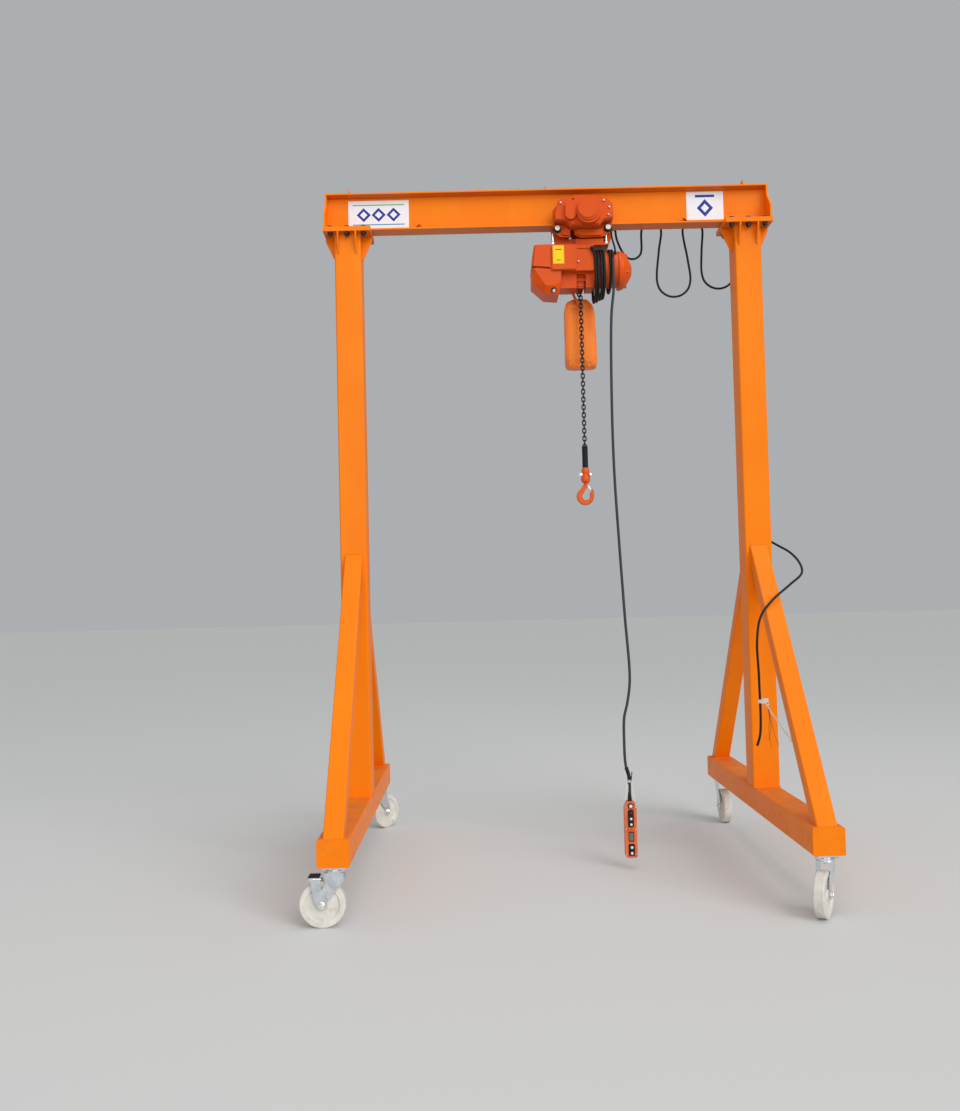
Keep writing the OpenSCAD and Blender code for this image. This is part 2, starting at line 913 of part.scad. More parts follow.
// Pendant control with its steel-wire yoke.
module pendant_body() {
    color(orange)
        translate([pend_x, pend_y, pend_top])
            slab_y(-22, 22)
                polygon([
                    [-24, -285], [24, -285], [31, -275], [31, -35], [22, -7], [14, 0], [-14, 0],
                    [-22, -7], [-31, -35], [-31, -275]
                ]);
}

module pendant_buttons() {
    color(dark)
        for (b = [[-23, 11], [-57, 9], [-87, 8], [-115, 8], [-231, 9], [-260, 9]])
            on_y(pend_x, pend_top + b[0], b[1], pend_y - 30, pend_y - 22);
}

// Ring on the cable with two flat legs that end on the shoulders of the body.
module pendant_yoke() {
    color(zinc)
        translate([pend_x, pend_y, pend_top])
            difference() {
                union() {
                    translate([0, 0, 93])
                        cylinder(r = pendant_r + 4, h = 14);
                    for (s = [-1, 1])
                        slab_y(-2, 2)
                            polygon([[s * 7, 102.7], [s * 11, 103.3], [s * 30.16, -32.4], [s * 22.95, -10]]);
                }
                translate([0, 0, 85])
                    cylinder(r = pendant_r + face_gap, h = 30);
            }
}

// Cables: hand-placed centre lines swept by a ten-sided section.
function unit(v) = v / norm(v);
function spline(p, i, t) =
    let (a = p[max(i - 1, 0)], b = p[i], c = p[i + 1], d = p[min(i + 2, len(p) - 1)])
    0.5 * ((2 * b) + (c - a) * t + (2 * a - 5 * b + 4 * c - d) * t * t
        + (3 * b - a - 3 * c + d) * t * t * t);
function run_of(p, k) = [
    for (i = [0:len(p) - 2], j = [0:k - 1]) spline(p, i, j / k), p[len(p) - 1]
];
function heading(q, i) = unit(q[min(i + 1, len(q) - 1)] - q[max(i - 1, 0)]);

module sweep(q, r, n = 10) {
    m = len(q);
    pts = [
        for (i = [0:m - 1])
            let (t = heading(q, i), s = abs(t[1]) < 0.8 ? [0, 1, 0] : [1, 0, 0],
                 u = unit(cross(t, s)), v = cross(t, u))
            for (j = [0:n - 1]) q[i] + r * (cos(360 * j / n) * u + sin(360 * j / n) * v)
    ];
    faces = concat(
        [[for (j = [0:n - 1]) j]],
        [for (i = [0:m - 2], j = [0:n - 1])
            [i * n + j, (i + 1) * n + j, (i + 1) * n + (j + 1) % n, i * n + (j + 1) % n]],
        [[for (j = [n - 1:-1:0]) (m - 1) * n + j]]
    );
    polyhedron(points = pts, faces = faces);
}

// Festoon points between two supports: share of the distance, and height above the beam's underside.
function hung(x0, x1, points) = [
    for (p = points) [x0 + p[0] * (x1 - x0), rail_y, beam_under + p[1]]
];
function over(x) = [[x, rail_y, saddle_z]];
festoon_path = concat(
    hung(tow_x, carrier_x1, [[0, 46], [0.015, 0], [0.16, -60], [0.49, -118], [0.69, -70], [0.84, 60]]),
    over(carrier_x1),
    hung(carrier_x1, carrier_x2, [[0.13, 60], [0.11, -180], [0.47, -330], [0.88, -220], [0.87, 60]]),
    over(carrier_x2),
    hung(carrier_x2, clamp_x, [[0.14, 60], [0.19, -160], [0.56, -290], [0.905, -220], [0.99, 50], [1, 110]])
);

// Supply lead: down the right post from the clamp, out in a bow below the brace's top, and down
// the inner face of the front brace. Heights are from the beam's underside, then from the brace.
lead_y = post_w / 2 + cable_r + face_gap;
lead_path = concat(
    [for (p = [[9, rail_y, 110], [9, rail_y, 30], [10, rail_y - 45, -70], [8, lead_y + 8, -210],
               [2, lead_y, -470]])
        [post_x + p[0], p[1], beam_under + p[2]]],
    [for (p = [[2, lead_y, 655], [10, lead_y + 2, 205], [50, 86, 115], [105, 86, 45], [165, 40, -45],
               [210, -40, -105], [210, -180, -165], [90, -270, -209], [-10, -315, -283],
               [-75, -345, -359], [-98, -352, -485], [-95, -352, -675], [-98, -352, -945],
               [-115, -352, -1005]])
        [post_x + p[0], p[1], brace_top + p[2]]]
);

// Pendant cable: offsets from the pendant, and share of the fall from the hoist to the pendant.
fall = hoist_z + 43 - pend_top;
pendant_path = [
    for (p = [[-2, 12.8, 1], [-4, 10, 0.937], [-20, 6, 0.887], [-32, 2, 0.725], [-30, 0, 0.598],
              [-16, 0, 0.471], [2, 0, 0.337], [18, 0, 0.217], [2, 0, 0.176], [-16, 0, 0.15],
              [-20, 0, 0.108], [-16, 0, 0.065], [0, 0, 0.042], [0, 0, 0]])
        [pend_x + p[0], pend_y + p[1], pend_top + p[2] * fall]
];

// Short lead of the travel motor: out behind the front plate and down to the top of the motor.
drive_lead_path = [
    for (p = [[154, -60.6, -10], [154.5, -60.6, -45], [156, -61, -72], [162, -66, -102],
              [168, -73, -130], [170, -73.5, -150], [170, -67.3, -164.5]])
        [trolley_x + p[0], p[1], beam_under + p[2]]
];

module festoon_cable() {
    color(dark)
        sweep(run_of(festoon_path, 2), cable_r);
}

module supply_lead() {
    color(dark)
        sweep(run_of(lead_path, 1), cable_r);
}

module pendant_cable() {
    color(dark)
        sweep(run_of(pendant_path, 1), pendant_r);
}

module drive_lead() {
    color(dark)
        sweep(run_of(drive_lead_path, 1), drive_lead_r);
}

main_beam();
beam_foot(-1);  // left_beam_foot
beam_foot(1);  // right_beam_foot
travel_stops();
post(-1);  // left_post
post(1);  // right_post
post_head(-1);  // left_post_head
post_head(1);  // right_post_head
head_bolts();
base_beam(-1);  // left_base_beam
base_beam(1);  // right_base_beam
base_end_caps();
braces(-1);  // left_braces
braces(1);  // right_braces
caster_plates();
at_caster(-1, -1, 180) fork_shape();  // caster_fork_fl
at_caster(1, -1, 240) fork_shape();  // caster_fork_fr
at_caster(-1, 1, 50) fork_shape();  // caster_fork_rl
at_caster(1, 1, 270) fork_shape();  // caster_fork_rr
at_caster(-1, -1, 180) brake_shape();  // caster_brake_fl
at_caster(-1, -1, 180) wheel_shape();  // caster_wheel_fl
at_caster(1, -1, 240) wheel_shape();  // caster_wheel_fr
at_caster(-1, 1, 50) wheel_shape();  // caster_wheel_rl
at_caster(1, 1, 270) wheel_shape();  // caster_wheel_rr
rail_arms();
festoon_rail();
rail_end_clamp();
carrier(carrier_x1);  // cable_carrier_1
carrier(carrier_x2);  // cable_carrier_2
trolley_side(-1);  // trolley_front_plate
trolley_side(1);  // trolley_rear_plate
trolley_drive();
cross_bars();
hoist_hanger();
guard_bolts();
tow_arm();
trolley_wheel(-1, -1);  // trolley_wheel_fl
trolley_wheel(1, -1);  // trolley_wheel_fr
trolley_wheel(-1, 1);  // trolley_wheel_rl
trolley_wheel(1, 1);  // trolley_wheel_rr
gear_case();
centre_block();
chain_guide();
hoist_motor();
end_bell();
cable_winding();
chain_bag();
load_chain();
slack_chain();
chain_buffer();
hook_block();
load_hook();
hook_latch();
pendant_body();
pendant_buttons();
pendant_yoke();
festoon_cable();
supply_lead();
pendant_cable();
drive_lead();
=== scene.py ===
"""A workshop gantry crane: cables, load chain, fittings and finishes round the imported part."""
import json
from math import radians, tau

import bpy
import numpy as np
from mathutils import Matrix, Vector


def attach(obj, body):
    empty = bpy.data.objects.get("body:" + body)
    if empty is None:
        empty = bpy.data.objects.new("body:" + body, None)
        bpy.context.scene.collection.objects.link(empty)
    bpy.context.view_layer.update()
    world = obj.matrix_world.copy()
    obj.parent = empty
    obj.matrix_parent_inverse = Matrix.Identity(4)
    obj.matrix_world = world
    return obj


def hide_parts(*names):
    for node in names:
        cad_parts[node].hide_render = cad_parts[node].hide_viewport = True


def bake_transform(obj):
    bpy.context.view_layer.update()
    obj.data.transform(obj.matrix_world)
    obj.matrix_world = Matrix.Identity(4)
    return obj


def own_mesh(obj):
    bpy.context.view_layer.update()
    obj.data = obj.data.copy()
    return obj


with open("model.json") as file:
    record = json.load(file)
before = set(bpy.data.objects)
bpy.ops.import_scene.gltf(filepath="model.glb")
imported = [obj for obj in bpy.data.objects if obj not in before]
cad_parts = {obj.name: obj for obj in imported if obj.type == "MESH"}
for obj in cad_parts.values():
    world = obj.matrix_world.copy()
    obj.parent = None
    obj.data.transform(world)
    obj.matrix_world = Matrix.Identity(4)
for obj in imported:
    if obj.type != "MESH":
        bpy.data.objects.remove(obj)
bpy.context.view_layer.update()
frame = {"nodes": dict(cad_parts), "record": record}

MM = 0.001

# The photograph's view: where the camera stands in metres, how it leans in degrees, and its focal
# length and sensor width in millimetres
CAMERA_AT = (-0.4104, -5.652, 1.3996)
CAMERA_PITCH = 2.297
CAMERA_YAW = 0.116
CAMERA_ROLL = 1.388
CAMERA_LENS = 40.05
SENSOR_WIDTH = 36

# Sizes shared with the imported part, in millimetres: the frame
BEAM_UNDER = 3370
BEAM_TOP = 3570
END_PLATE_X = 1169.5
HEAD_PLATE_UNDER = 3344
POST_X = 1060
POST_HALF = 70
BRACE_HALF = 45
BRACE_TOP = 1645
BRACE_FOOT = (948, 1034)
BASE_HALF = 70
BASE_END = 1050
BASE_TOP = 385
BASE_UNDER = 265
STOPS_X = (-681, 728)

# The festoon's rail and its carriers, with the round that the cable lies in under each
RAIL_Y = 180
CARRIERS = {"cable_carrier_1": 592, "cable_carrier_2": 820}
SADDLE_Z = 3410.7
SADDLE_R = 54

# The load chain from its first link down, and the pin of the hook block below it
CHAIN_X = 172
CHAIN_Z0 = 3075
CHAIN_LINKS = 49
CHAIN_PITCH = 21
CHAIN_WIRE = 6.6
LINK_BEND = 8.5
HOOK_PINS_Z = 2042

# Casters: X, Y and the way the axle trails from the pivot, in degrees from +X
CASTER_Y = 985
CASTERS = {
    "fl": (-POST_X, -CASTER_Y, 180), "fr": (POST_X, -CASTER_Y, 240),
    "rl": (-POST_X, CASTER_Y, 50), "rr": (POST_X, CASTER_Y, 270),
}
CASTER_PLATE_UNDER = 259
KING_NUT_TOP = 229.8
AXLE_TRAIL = 55
AXLE_UP = 100
AXLE_NUT_OUT = 32
BRAKE_WIDER = 3

# The pendant's middle in X and Y, and its front face
PENDANT_AT = (338, -132)
PENDANT_FACE = -154


def placed(name, data):
    """A new object in the scene that shows a mesh, a camera or a lamp."""
    made = bpy.data.objects.new(name, data)
    bpy.context.collection.objects.link(made)
    return made


def look_through_camera():
    """Puts the camera where the photograph was taken from."""
    data = bpy.data.cameras.new("photo_view")
    data.sensor_fit = "HORIZONTAL"
    data.sensor_width = SENSOR_WIDTH
    data.lens = CAMERA_LENS
    data.clip_end = 80
    camera = placed("photo_view", data)
    camera.matrix_world = (
        Matrix.Translation(CAMERA_AT)
        @ Matrix.Rotation(radians(-CAMERA_YAW), 4, "Z")
        @ Matrix.Rotation(radians(90 + CAMERA_PITCH), 4, "X")
        @ Matrix.Rotation(radians(-CAMERA_ROLL), 4, "Z")
    )
    bpy.context.scene.camera = camera


look_through_camera()


# Shapes

def quads(rows, columns):
    """Faces of a grid of points, row by row, with each row closed on itself."""
    i = np.arange(rows - 1)[:, None]
    j = np.arange(columns)[None, :]
    k = (j + 1) % columns
    corners = [i * columns + j, (i + 1) * columns + j, (i + 1) * columns + k, i * columns + k]
    return np.stack(np.broadcast_arrays(*corners), axis=-1).reshape(-1, 4).tolist()


def joined(parts):
    """Lays several (points, faces) pairs end to end as one pair."""
    points, faces, first = [], [], 0
    for some, their in parts:
        points.append(np.asarray(some, float))
        faces += [[first + corner for corner in face] for face in their]
        first += len(some)
    return np.vstack(points), faces


def mesh_object(name, shape, finish, smooth):
    """An object from (points in millimetres, faces), with smooth or flat faces."""
    points, faces = shape
    mesh = bpy.data.meshes.new(name)
    mesh.from_pydata((np.asarray(points) * MM).tolist(), [], faces)
    mesh.polygons.foreach_set("use_smooth", [smooth] * len(faces))
    mesh.update()
    mesh.materials.append(finish.material)
    return placed(name, mesh)


def piece(name, shape, body, slot, finish=None, smooth=True):
    """Makes a piece that moves with a body, if one is given. It has its slot's own finish unless
    another is given."""
    made = mesh_object(name, shape, finish or BY_SLOT[slot], smooth)
    if body:
        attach(made, body)
    return made


def unit(v):
    """Each vector divided by its own length."""
    v = np.asarray(v, float)
    return v / np.linalg.norm(v, axis=-1, keepdims=True)


def respaced(line, step):
    """The same line with its points an even step apart, found by walking its length."""
    walked = np.concatenate([[0], np.cumsum(np.linalg.norm(np.diff(line, axis=0), axis=1))])
    even = np.linspace(0, walked[-1], max(3, int(round(walked[-1] / step)) + 1))
    return np.stack([np.interp(even, walked, column) for column in line.T], axis=1)


def smooth_route(points, step):
    """A curve through given points: four neighbours at a time are blended in three rounds of
    straight-line mixing, with knots spaced by the square root of the distance between points."""
    p = np.asarray(points, float)
    q = np.vstack([2 * p[0] - p[1], p, 2 * p[-1] - p[-2]])
    knots = np.concatenate([[0], np.cumsum(np.linalg.norm(np.diff(q, axis=0), axis=1) ** 0.5)])
    a, b, c, d = (q[i:len(q) - 3 + i, None] for i in range(4))
    ta, tb, tc, td = (knots[i:len(q) - 3 + i, None, None] for i in range(4))
    t = tb + (tc - tb) * np.linspace(0, 1, 16, endpoint=False)[None, :, None]

    def between(u, v, tu, tv):
        return (u * (tv - t) + v * (t - tu)) / (tv - tu)

    ab, bc, cd = between(a, b, ta, tb), between(b, c, tb, tc), between(c, d, tc, td)
    curve = between(between(ab, bc, ta, tc), between(bc, cd, tb, td), tb, tc)
    return respaced(np.vstack([curve.reshape(-1, p.shape[1]), p[-1:]]), step)


def tube(line, radius, sides, across, closed=False):
    """A round bar along a line: ring i is radius times (cos a, sin a) laid in the plane square to
    the line's direction there; radius may change from ring to ring."""
    line = np.asarray(line, float)
    if closed:
        ahead = unit(np.roll(line, -1, axis=0) - np.roll(line, 1, axis=0))
    else:
        ahead = unit(np.gradient(line, axis=0))
    side = unit(np.cross(ahead, across))
    up = np.cross(side, ahead)
    a = np.linspace(0, tau, sides, endpoint=False)[None, :, None]
    r = np.broadcast_to(np.asarray(radius, float), len(line))[:, None, None]
    spokes = np.cos(a) * side[:, None] + np.sin(a) * up[:, None]
    points = (line[:, None] + r * spokes).reshape(-1, 3)
    n = len(line)
    if closed:
        wrapped = quads(n + 1, sides)
        return points, [[corner % (n * sides) for corner in face] for face in wrapped]
    caps = [list(range(sides)), list(range(n * sides - 1, (n - 1) * sides - 1, -1))]
    return points, quads(n, sides) + caps


def turned(profile, places, axis, sides):
    """Turned pieces, one at each place: profile rows are (radius, height) along the axis, each row
    becomes a ring of the given number of sides, and the first and last ring are closed."""
    profile = np.asarray(profile, float)
    places = np.atleast_2d(np.asarray(places, float))
    axis = unit(axis)
    u = unit(np.cross(axis, (0.31, 0.87, 0.39)))
    v = np.cross(axis, u)
    a = np.linspace(0, tau, sides, endpoint=False)
    ring = np.cos(a)[:, None] * u + np.sin(a)[:, None] * v
    one = (profile[:, 0, None, None] * ring[None] + profile[:, 1, None, None] * axis).reshape(-1, 3)
    rows = len(profile)
    faces = [face[::-1] for face in quads(rows, sides)]
    faces += [list(range(sides))[::-1], list(range((rows - 1) * sides, rows * sides))]
    return joined([(one + place, faces) for place in places])


def hex_head(places, axis, flats, height):
    """Hexagon heads or nuts: a six-sided bar whose outer end is chamfered."""
    r = flats / 3 ** 0.5
    profile = [(r, 0), (r, 0.82 * height), (0.88 * r, height)]
    return turned(profile, places, axis, 6)


def socket_head(places, axis, r, height):
    """Cap screws: a round head with a sunk socket."""
    profile = [(r, 0), (r, 0.85 * height), (0.9 * r, height), (0.55 * r, height),
               (0.5 * r, 0.5 * height)]
    return turned(profile, places, axis, 12)


def bead(start, end, radius, ripple=3.2):
    """A weld run: a bar along a straight line whose radius rises and falls once for each ripple,
    and tapers over the last few millimetres at both ends."""
    start, end = np.asarray(start, float), np.asarray(end, float)
    span = np.linalg.norm(end - start)
    n = max(4, int(span / ripple) * 2 + 1)
    t = np.linspace(0, 1, n)[:, None]
    swell = 1 + 0.13 * np.cos(np.arange(n) * np.pi)
    ends = np.minimum(1, 0.45 + 3.5 * np.minimum(t[:, 0], 1 - t[:, 0]) * span / 30)
    ahead = unit(end - start)
    across = (0, 0, 1) if abs(ahead[2]) < 0.6 else (1, 0.3, 0)
    return tube(start + (end - start) * t, radius * swell * ends, 7, across)


def plate(x0, x1, z0, z1, y, thick, corner):
    """A thin sheet in the XZ plane with round corners: its outline walks the four corner arcs, and
    two such outlines a thickness apart are joined round the edge."""
    n = 32
    a = np.linspace(0, tau, n, endpoint=False)
    cx = np.where(np.cos(a + 1e-6) > 0, x1 - corner, x0 + corner)
    cz = np.where(np.sin(a + 1e-6) > 0, z1 - corner, z0 + corner)
    outline = [cx + corner * np.cos(a), np.full(n, float(y)), cz + corner * np.sin(a)]
    outline = np.stack(outline, axis=1)
    points = np.vstack([outline, outline - (0, thick, 0)])
    return points, quads(2, n) + [list(range(n))[::-1], list(range(n, 2 * n))]


# Finishes

def linear(colour):
    """A display colour, 0 to 255, as the linear colour that shaders use. A term is given back."""
    if isinstance(colour, Term):
        return colour
    c = np.array(colour) / 255
    return (*np.where(c <= 0.04045, c / 12.92, ((c + 0.055) / 1.055) ** 2.4).tolist(), 1)


def operator(operation, swapped=False):
    """An operator for terms, with its two sides swapped or not."""
    def combine(term, other):
        return term.math(operation, *((other, term) if swapped else (term, other)))
    return combine


class Term:
    """A shader socket that takes part in arithmetic: each operator adds one Math node."""

    def __init__(self, finish, socket):
        self.finish = finish
        self.socket = socket

    def math(self, operation, *terms):
        """One Math node with the given terms on its sockets."""
        return self.finish.node("Math", {"operation": operation}, dict(enumerate(terms)))

    __add__ = __radd__ = operator("ADD")
    __mul__ = __rmul__ = operator("MULTIPLY")
    __sub__ = operator("SUBTRACT")
    __rsub__ = operator("SUBTRACT", swapped=True)
    __truediv__ = operator("DIVIDE")
    __gt__ = operator("GREATER_THAN")
    __lt__ = operator("LESS_THAN")

    def __abs__(self):
        return self.math("ABSOLUTE", self)

    def ramp(self, low, high):
        """0 below low, 1 above high, and a soft step between."""
        settings = {"interpolation_type": "SMOOTHSTEP"}
        return self.finish.node("MapRange", settings, {0: self, 1: low, 2: high, 3: 0, 4: 1})


class Finish:
    """One surface finish: a Principled shader and the words that describe what changes over it."""

    def __init__(self, name, metallic=0, roughness=0.5, coat=0, coat_roughness=0.1,
                 specular=0.5):
        self.material = bpy.data.materials.new(name)
        self.material.use_nodes = True
        self.tree = self.material.node_tree
        self.tree.nodes.clear()
        output = self.tree.nodes.new("ShaderNodeOutputMaterial")
        self.shader = self.tree.nodes.new("ShaderNodeBsdfPrincipled")
        self.tree.links.new(self.shader.outputs[0], output.inputs["Surface"])
        self.set("Metallic", metallic)
        self.set("Roughness", roughness)
        self.set("Coat Weight", coat)
        self.set("Coat Roughness", coat_roughness)
        self.set("Specular IOR Level", specular)
        self.place = self.node("TexCoord", output="Object")

    def plug(self, socket, value):
        """Links a term to a socket, or sets a plain value on it."""
        if isinstance(value, Term):
            self.tree.links.new(value.socket, socket)
        else:
            socket.default_value = value

    def set(self, name, value):
        """Gives one input of the Principled shader its term or value."""
        self.plug(self.shader.inputs[name], value)

    def node(self, kind, settings=None, inputs=None, output=0):
        """Adds one node: its settings come first, then numbers or links for its sockets."""
        made = self.tree.nodes.new("ShaderNode" + kind)
        for key, value in (settings or {}).items():
            setattr(made, key, value)
        for key, value in (inputs or {}).items():
            self.plug(made.inputs[key], value)
        return Term(self, made.outputs[output])

    def mix(self, factor, a, b):
        """Colour a, which goes over to colour b as the factor rises from 0 to 1."""
        return self.node("Mix", {"data_type": "RGBA"}, {0: factor, 6: linear(a), 7: linear(b)}, 2)

    def noise(self, scale, detail=4, rough=0.6, stretch=None, twist=0):
        """Cloudy noise between 0 and 1; stretch scales the pattern along X, Y and Z."""
        where = self.place
        if stretch:
            where = self.node("Mapping", {}, {"Vector": where, "Scale": stretch})
        inputs = {"Vector": where, "Scale": scale, "Detail": detail, "Roughness": rough,
                  "Distortion": twist}
        return self.node("TexNoise", {}, inputs, "Fac")

    def axis(self, letter):
        """One Object coordinate, in metres."""
        return self.node("SeparateXYZ", {}, {0: self.place}, "XYZ".index(letter))

    def facing_up(self):
        """1 on faces that look straight up, 0 on upright ones, -1 underneath."""
        normal = self.node("NewGeometry", output="Normal")
        return self.node("SeparateXYZ", {}, {0: normal}, 2)

    def bump(self, height, depth, strength, under=None):
        """A normal that follows a height, on top of another bump if one is given."""
        inputs = {"Height": height, "Distance": depth, "Strength": strength}
        if under:
            inputs["Normal"] = under
        return self.node("Bump", {}, inputs)

    def surface(self, colour, roughness, height, depth, strength, under=None):
        """Sets the colour, the roughness and the bump, and gives back the finish."""
        self.set("Base Color", colour)
        self.set("Roughness", roughness)
        self.set("Normal", self.bump(height, depth, strength, under))
        return self


def enamel(name, colour, deep, pale, peel, coat, sheen, cast=0):
    """Sprayed enamel: cloudy shade, orange peel, dust on ledges, painted shade on faces that look
    down, floor grime low down and a few scuffs. Cast adds the fine grain of a casting under the
    paint."""
    f = Finish(name, coat=coat, coat_roughness=0.12, specular=sheen)
    cloud = f.noise(1.7, 4, 0.55)
    runs = f.noise(9, 3, 0.5, stretch=(1, 1, 0.12))
    shade = f.mix(cloud.ramp(0.35, 0.7) * 0.55, colour, deep)
    shade = f.mix(runs.ramp(0.5, 0.8) * 0.3, shade, pale)
    ledge = f.facing_up().ramp(0.55, 0.95) * (0.45 + 0.55 * f.noise(6).ramp(0.3, 0.75))
    shade = f.mix(ledge * 0.42, shade, (158, 104, 74))
    # Painted shade: faces that look down are darkened towards brown, as if in shadow
    under = (-1 * f.facing_up()).ramp(0.6, 0.95)
    shade = f.mix(under * (0.35 + cloud * 0.3), shade, (128, 74, 44))
    low = 1 - f.axis("Z").ramp(0.22, 0.62)
    splash = f.noise(26, 6, 0.7).ramp(0.5, 0.72) * low
    shade = f.mix(splash * 0.2, shade, (128, 96, 66))
    scuff = f.noise(5, 2, 0.5).ramp(0.6, 0.7)
    scuff = scuff * f.noise(70, 4, 0.7, stretch=(1, 1, 0.3)).ramp(0.66, 0.7)
    shade = f.mix(scuff * 0.5, shade, (110, 62, 30))
    height = f.noise(420, 2, 0.5) * peel + f.noise(60, 2, 0.5) * peel * 1.5
    if cast:
        height = height + f.noise(900, 3) * cast
    rough = 0.36 + cloud * 0.14 + ledge * 0.3 + splash * 0.25 + scuff * 0.2
    return f.surface(shade, rough, height, 0.001, 0.6)


def zinc_plate(name, tint, dark, grain=(1, 1, 1)):
    """Bright zinc on pressed steel: faint bluish clouds, fine grain, dulled patches."""
    f = Finish(name, metallic=1)
    cloud = f.noise(22, twist=0.6)
    fine = f.noise(340, 3, stretch=grain)
    shade = f.mix(cloud.ramp(0.35, 0.72), tint, dark)
    dirt = f.noise(60, 5, 0.7).ramp(0.58, 0.72)
    shade = f.mix(dirt * 0.35, shade, (112, 106, 98))
    return f.surface(shade, 0.16 + cloud * 0.16 + fine * 0.08 + dirt * 0.25, fine, 0.0004, 0.5)


def oily_steel(name, colour, rust):
    """Blackened steel with an oil film that gathers dust in cloudy patches."""
    f = Finish(name, metallic=0.85)
    cloud = f.noise(95)
    brown = f.noise(33, 5, 0.65).ramp(0.52, 0.75)
    shade = f.mix(brown * 0.45, f.mix(cloud * 0.5, colour, (74, 74, 78)), rust)
    f.set("Metallic", 0.85 - brown * 0.5)
    rough = 0.32 + cloud * 0.18 + brown * 0.25
    return f.surface(shade, rough, f.noise(700, 3), 0.0004, 0.6)


def bar_and_nuts(name, axes, bar_radius):
    """Zinc bars with blackened nuts and washers: the split is the distance from each bar's axis."""
    f = Finish(name, metallic=1)
    x, z = f.axis("X"), f.axis("Z")
    squares = [(x - cx) * (x - cx) + (z - cz) * (z - cz) for cx, cz in axes]
    nearest = squares[0].math("MINIMUM", *squares)
    nut = nearest.ramp(bar_radius ** 2, (bar_radius + 0.0008) ** 2)
    cloud = f.noise(80)
    bright = f.mix(cloud, (214, 212, 200), (170, 166, 152))
    shade = f.mix(nut, bright, f.mix(cloud, (38, 36, 36), (70, 60, 52)))
    f.set("Metallic", 1 - nut * 0.3)
    rough = 0.25 + cloud * 0.2 + nut * 0.15
    return f.surface(shade, rough, f.noise(600, 3), 0.0004, 0.5)


def cast_nylon(name):
    """Off-white nylon: cloudy, faintly yellow, with grub that gathers near the floor."""
    f = Finish(name, specular=0.4)
    cloud = f.noise(18, 4, 0.55)
    grub = f.noise(46, 6, 0.7).ramp(0.5, 0.74)
    low = 1 - f.axis("Z").ramp(0.01, 0.12)
    shade = f.mix(cloud.ramp(0.3, 0.75), (226, 222, 213), (208, 204, 193))
    shade = f.mix(grub * (0.15 + low * 0.35), shade, (132, 124, 112))
    rough = 0.4 + cloud * 0.12 + grub * 0.2
    return f.surface(shade, rough, f.noise(260), 0.0004, 0.5)


def rubber(name, colour, dust, shine=0.48, dusty=0.35, hanging=None):
    """Cable sheath, rubber and plastic: slightly mottled, dust on the upper side, and where a
    second colour is given, painted light: the run that hangs in front of the hoist takes that
    paler colour, as if lit more than the turns round the motor."""
    f = Finish(name, specular=0.25)
    mottle = f.noise(120)
    top = f.facing_up().ramp(0.2, 0.9) * f.noise(40, 5, 0.7).ramp(0.35, 0.75)
    # Painted light: the hanging run in front gets the paler second colour, as if lit more than the
    # turns
    if hanging:
        colour = f.mix(1 - f.axis("Y").ramp(-0.122, -0.114), colour, hanging)
    shade = f.mix(top * dusty + mottle * 0.08, colour, dust)
    rough = shine + mottle * 0.12 + top * 0.2
    return f.surface(shade, rough, f.noise(800, 3), 0.0003, 0.6)


def coated_cloth(name):
    """Coated bag cloth: a fine square weave, paler streaks down the folds, dirt at the base and in
    the mouth where the chain runs in, and a painted shadow beside the chain at the top."""
    f = Finish(name, specular=0.3)
    f.set("Sheen Weight", 0.25)
    waves = [f.node("TexWave", {"bands_direction": direction},
                    {"Vector": f.place, "Scale": 230, "Distortion": 0.6})
             for direction in "XZ"]
    streak = f.noise(30, stretch=(1, 1, 0.1))
    cloud = f.noise(12, 5)
    shade = f.mix(streak.ramp(0.4, 0.7), (255, 136, 46), (241, 113, 33))
    shade = f.mix(cloud.ramp(0.55, 0.8) * 0.35, shade, (255, 164, 88))
    base = (1 - f.axis("Z").ramp(2.63, 2.72)) * f.noise(34, 6, 0.7).ramp(0.42, 0.62)
    mouth = f.axis("Z").ramp(2.95, 3) * f.noise(26, 5, 0.7).ramp(0.4, 0.7)
    # Painted shadow: a darker patch beside the chain near the top of the bag
    chain_side = 1 - abs(f.axis("X") - 0.15).ramp(0.012, 0.045)
    painted_shadow_by_chain = chain_side * f.axis("Z").ramp(2.9, 2.96) * f.noise(40, 5, 0.7).ramp(0.3, 0.6)
    shade = f.mix(base * 0.5 + mouth * 0.3, shade, (146, 66, 22))
    shade = f.mix(painted_shadow_by_chain * 0.45, shade, (150, 66, 24))
    weave = f.bump(waves[0] + waves[1], 0.0003, 0.4)
    ripples = f.noise(60, stretch=(1, 1, 0.25))
    return f.surface(shade, 0.62 + cloud * 0.14 + base * 0.1, ripples, 0.003, 0.45, weave)


def moulded_shell(name):
    """Pendant housing: faded salmon-orange plastic, paler near its edges, with patches of grime."""
    f = Finish(name, specular=0.4)
    cloud = f.noise(16, 5)
    edge = abs(f.axis("X") - PENDANT_AT[0] * MM).ramp(0.017, 0.031)
    shade = f.mix(cloud.ramp(0.35, 0.7), (226, 104, 52), (206, 84, 36))
    shade = f.mix(edge * 0.45, shade, (236, 140, 96))
    grime = f.noise(70, 6, 0.7).ramp(0.52, 0.75)
    shade = f.mix(grime * 0.4, shade, (120, 70, 44))
    rough = 0.42 + cloud * 0.15 + grime * 0.15
    return f.surface(shade, rough, f.noise(620, 2, 0.5), 0.0006, 0.5)


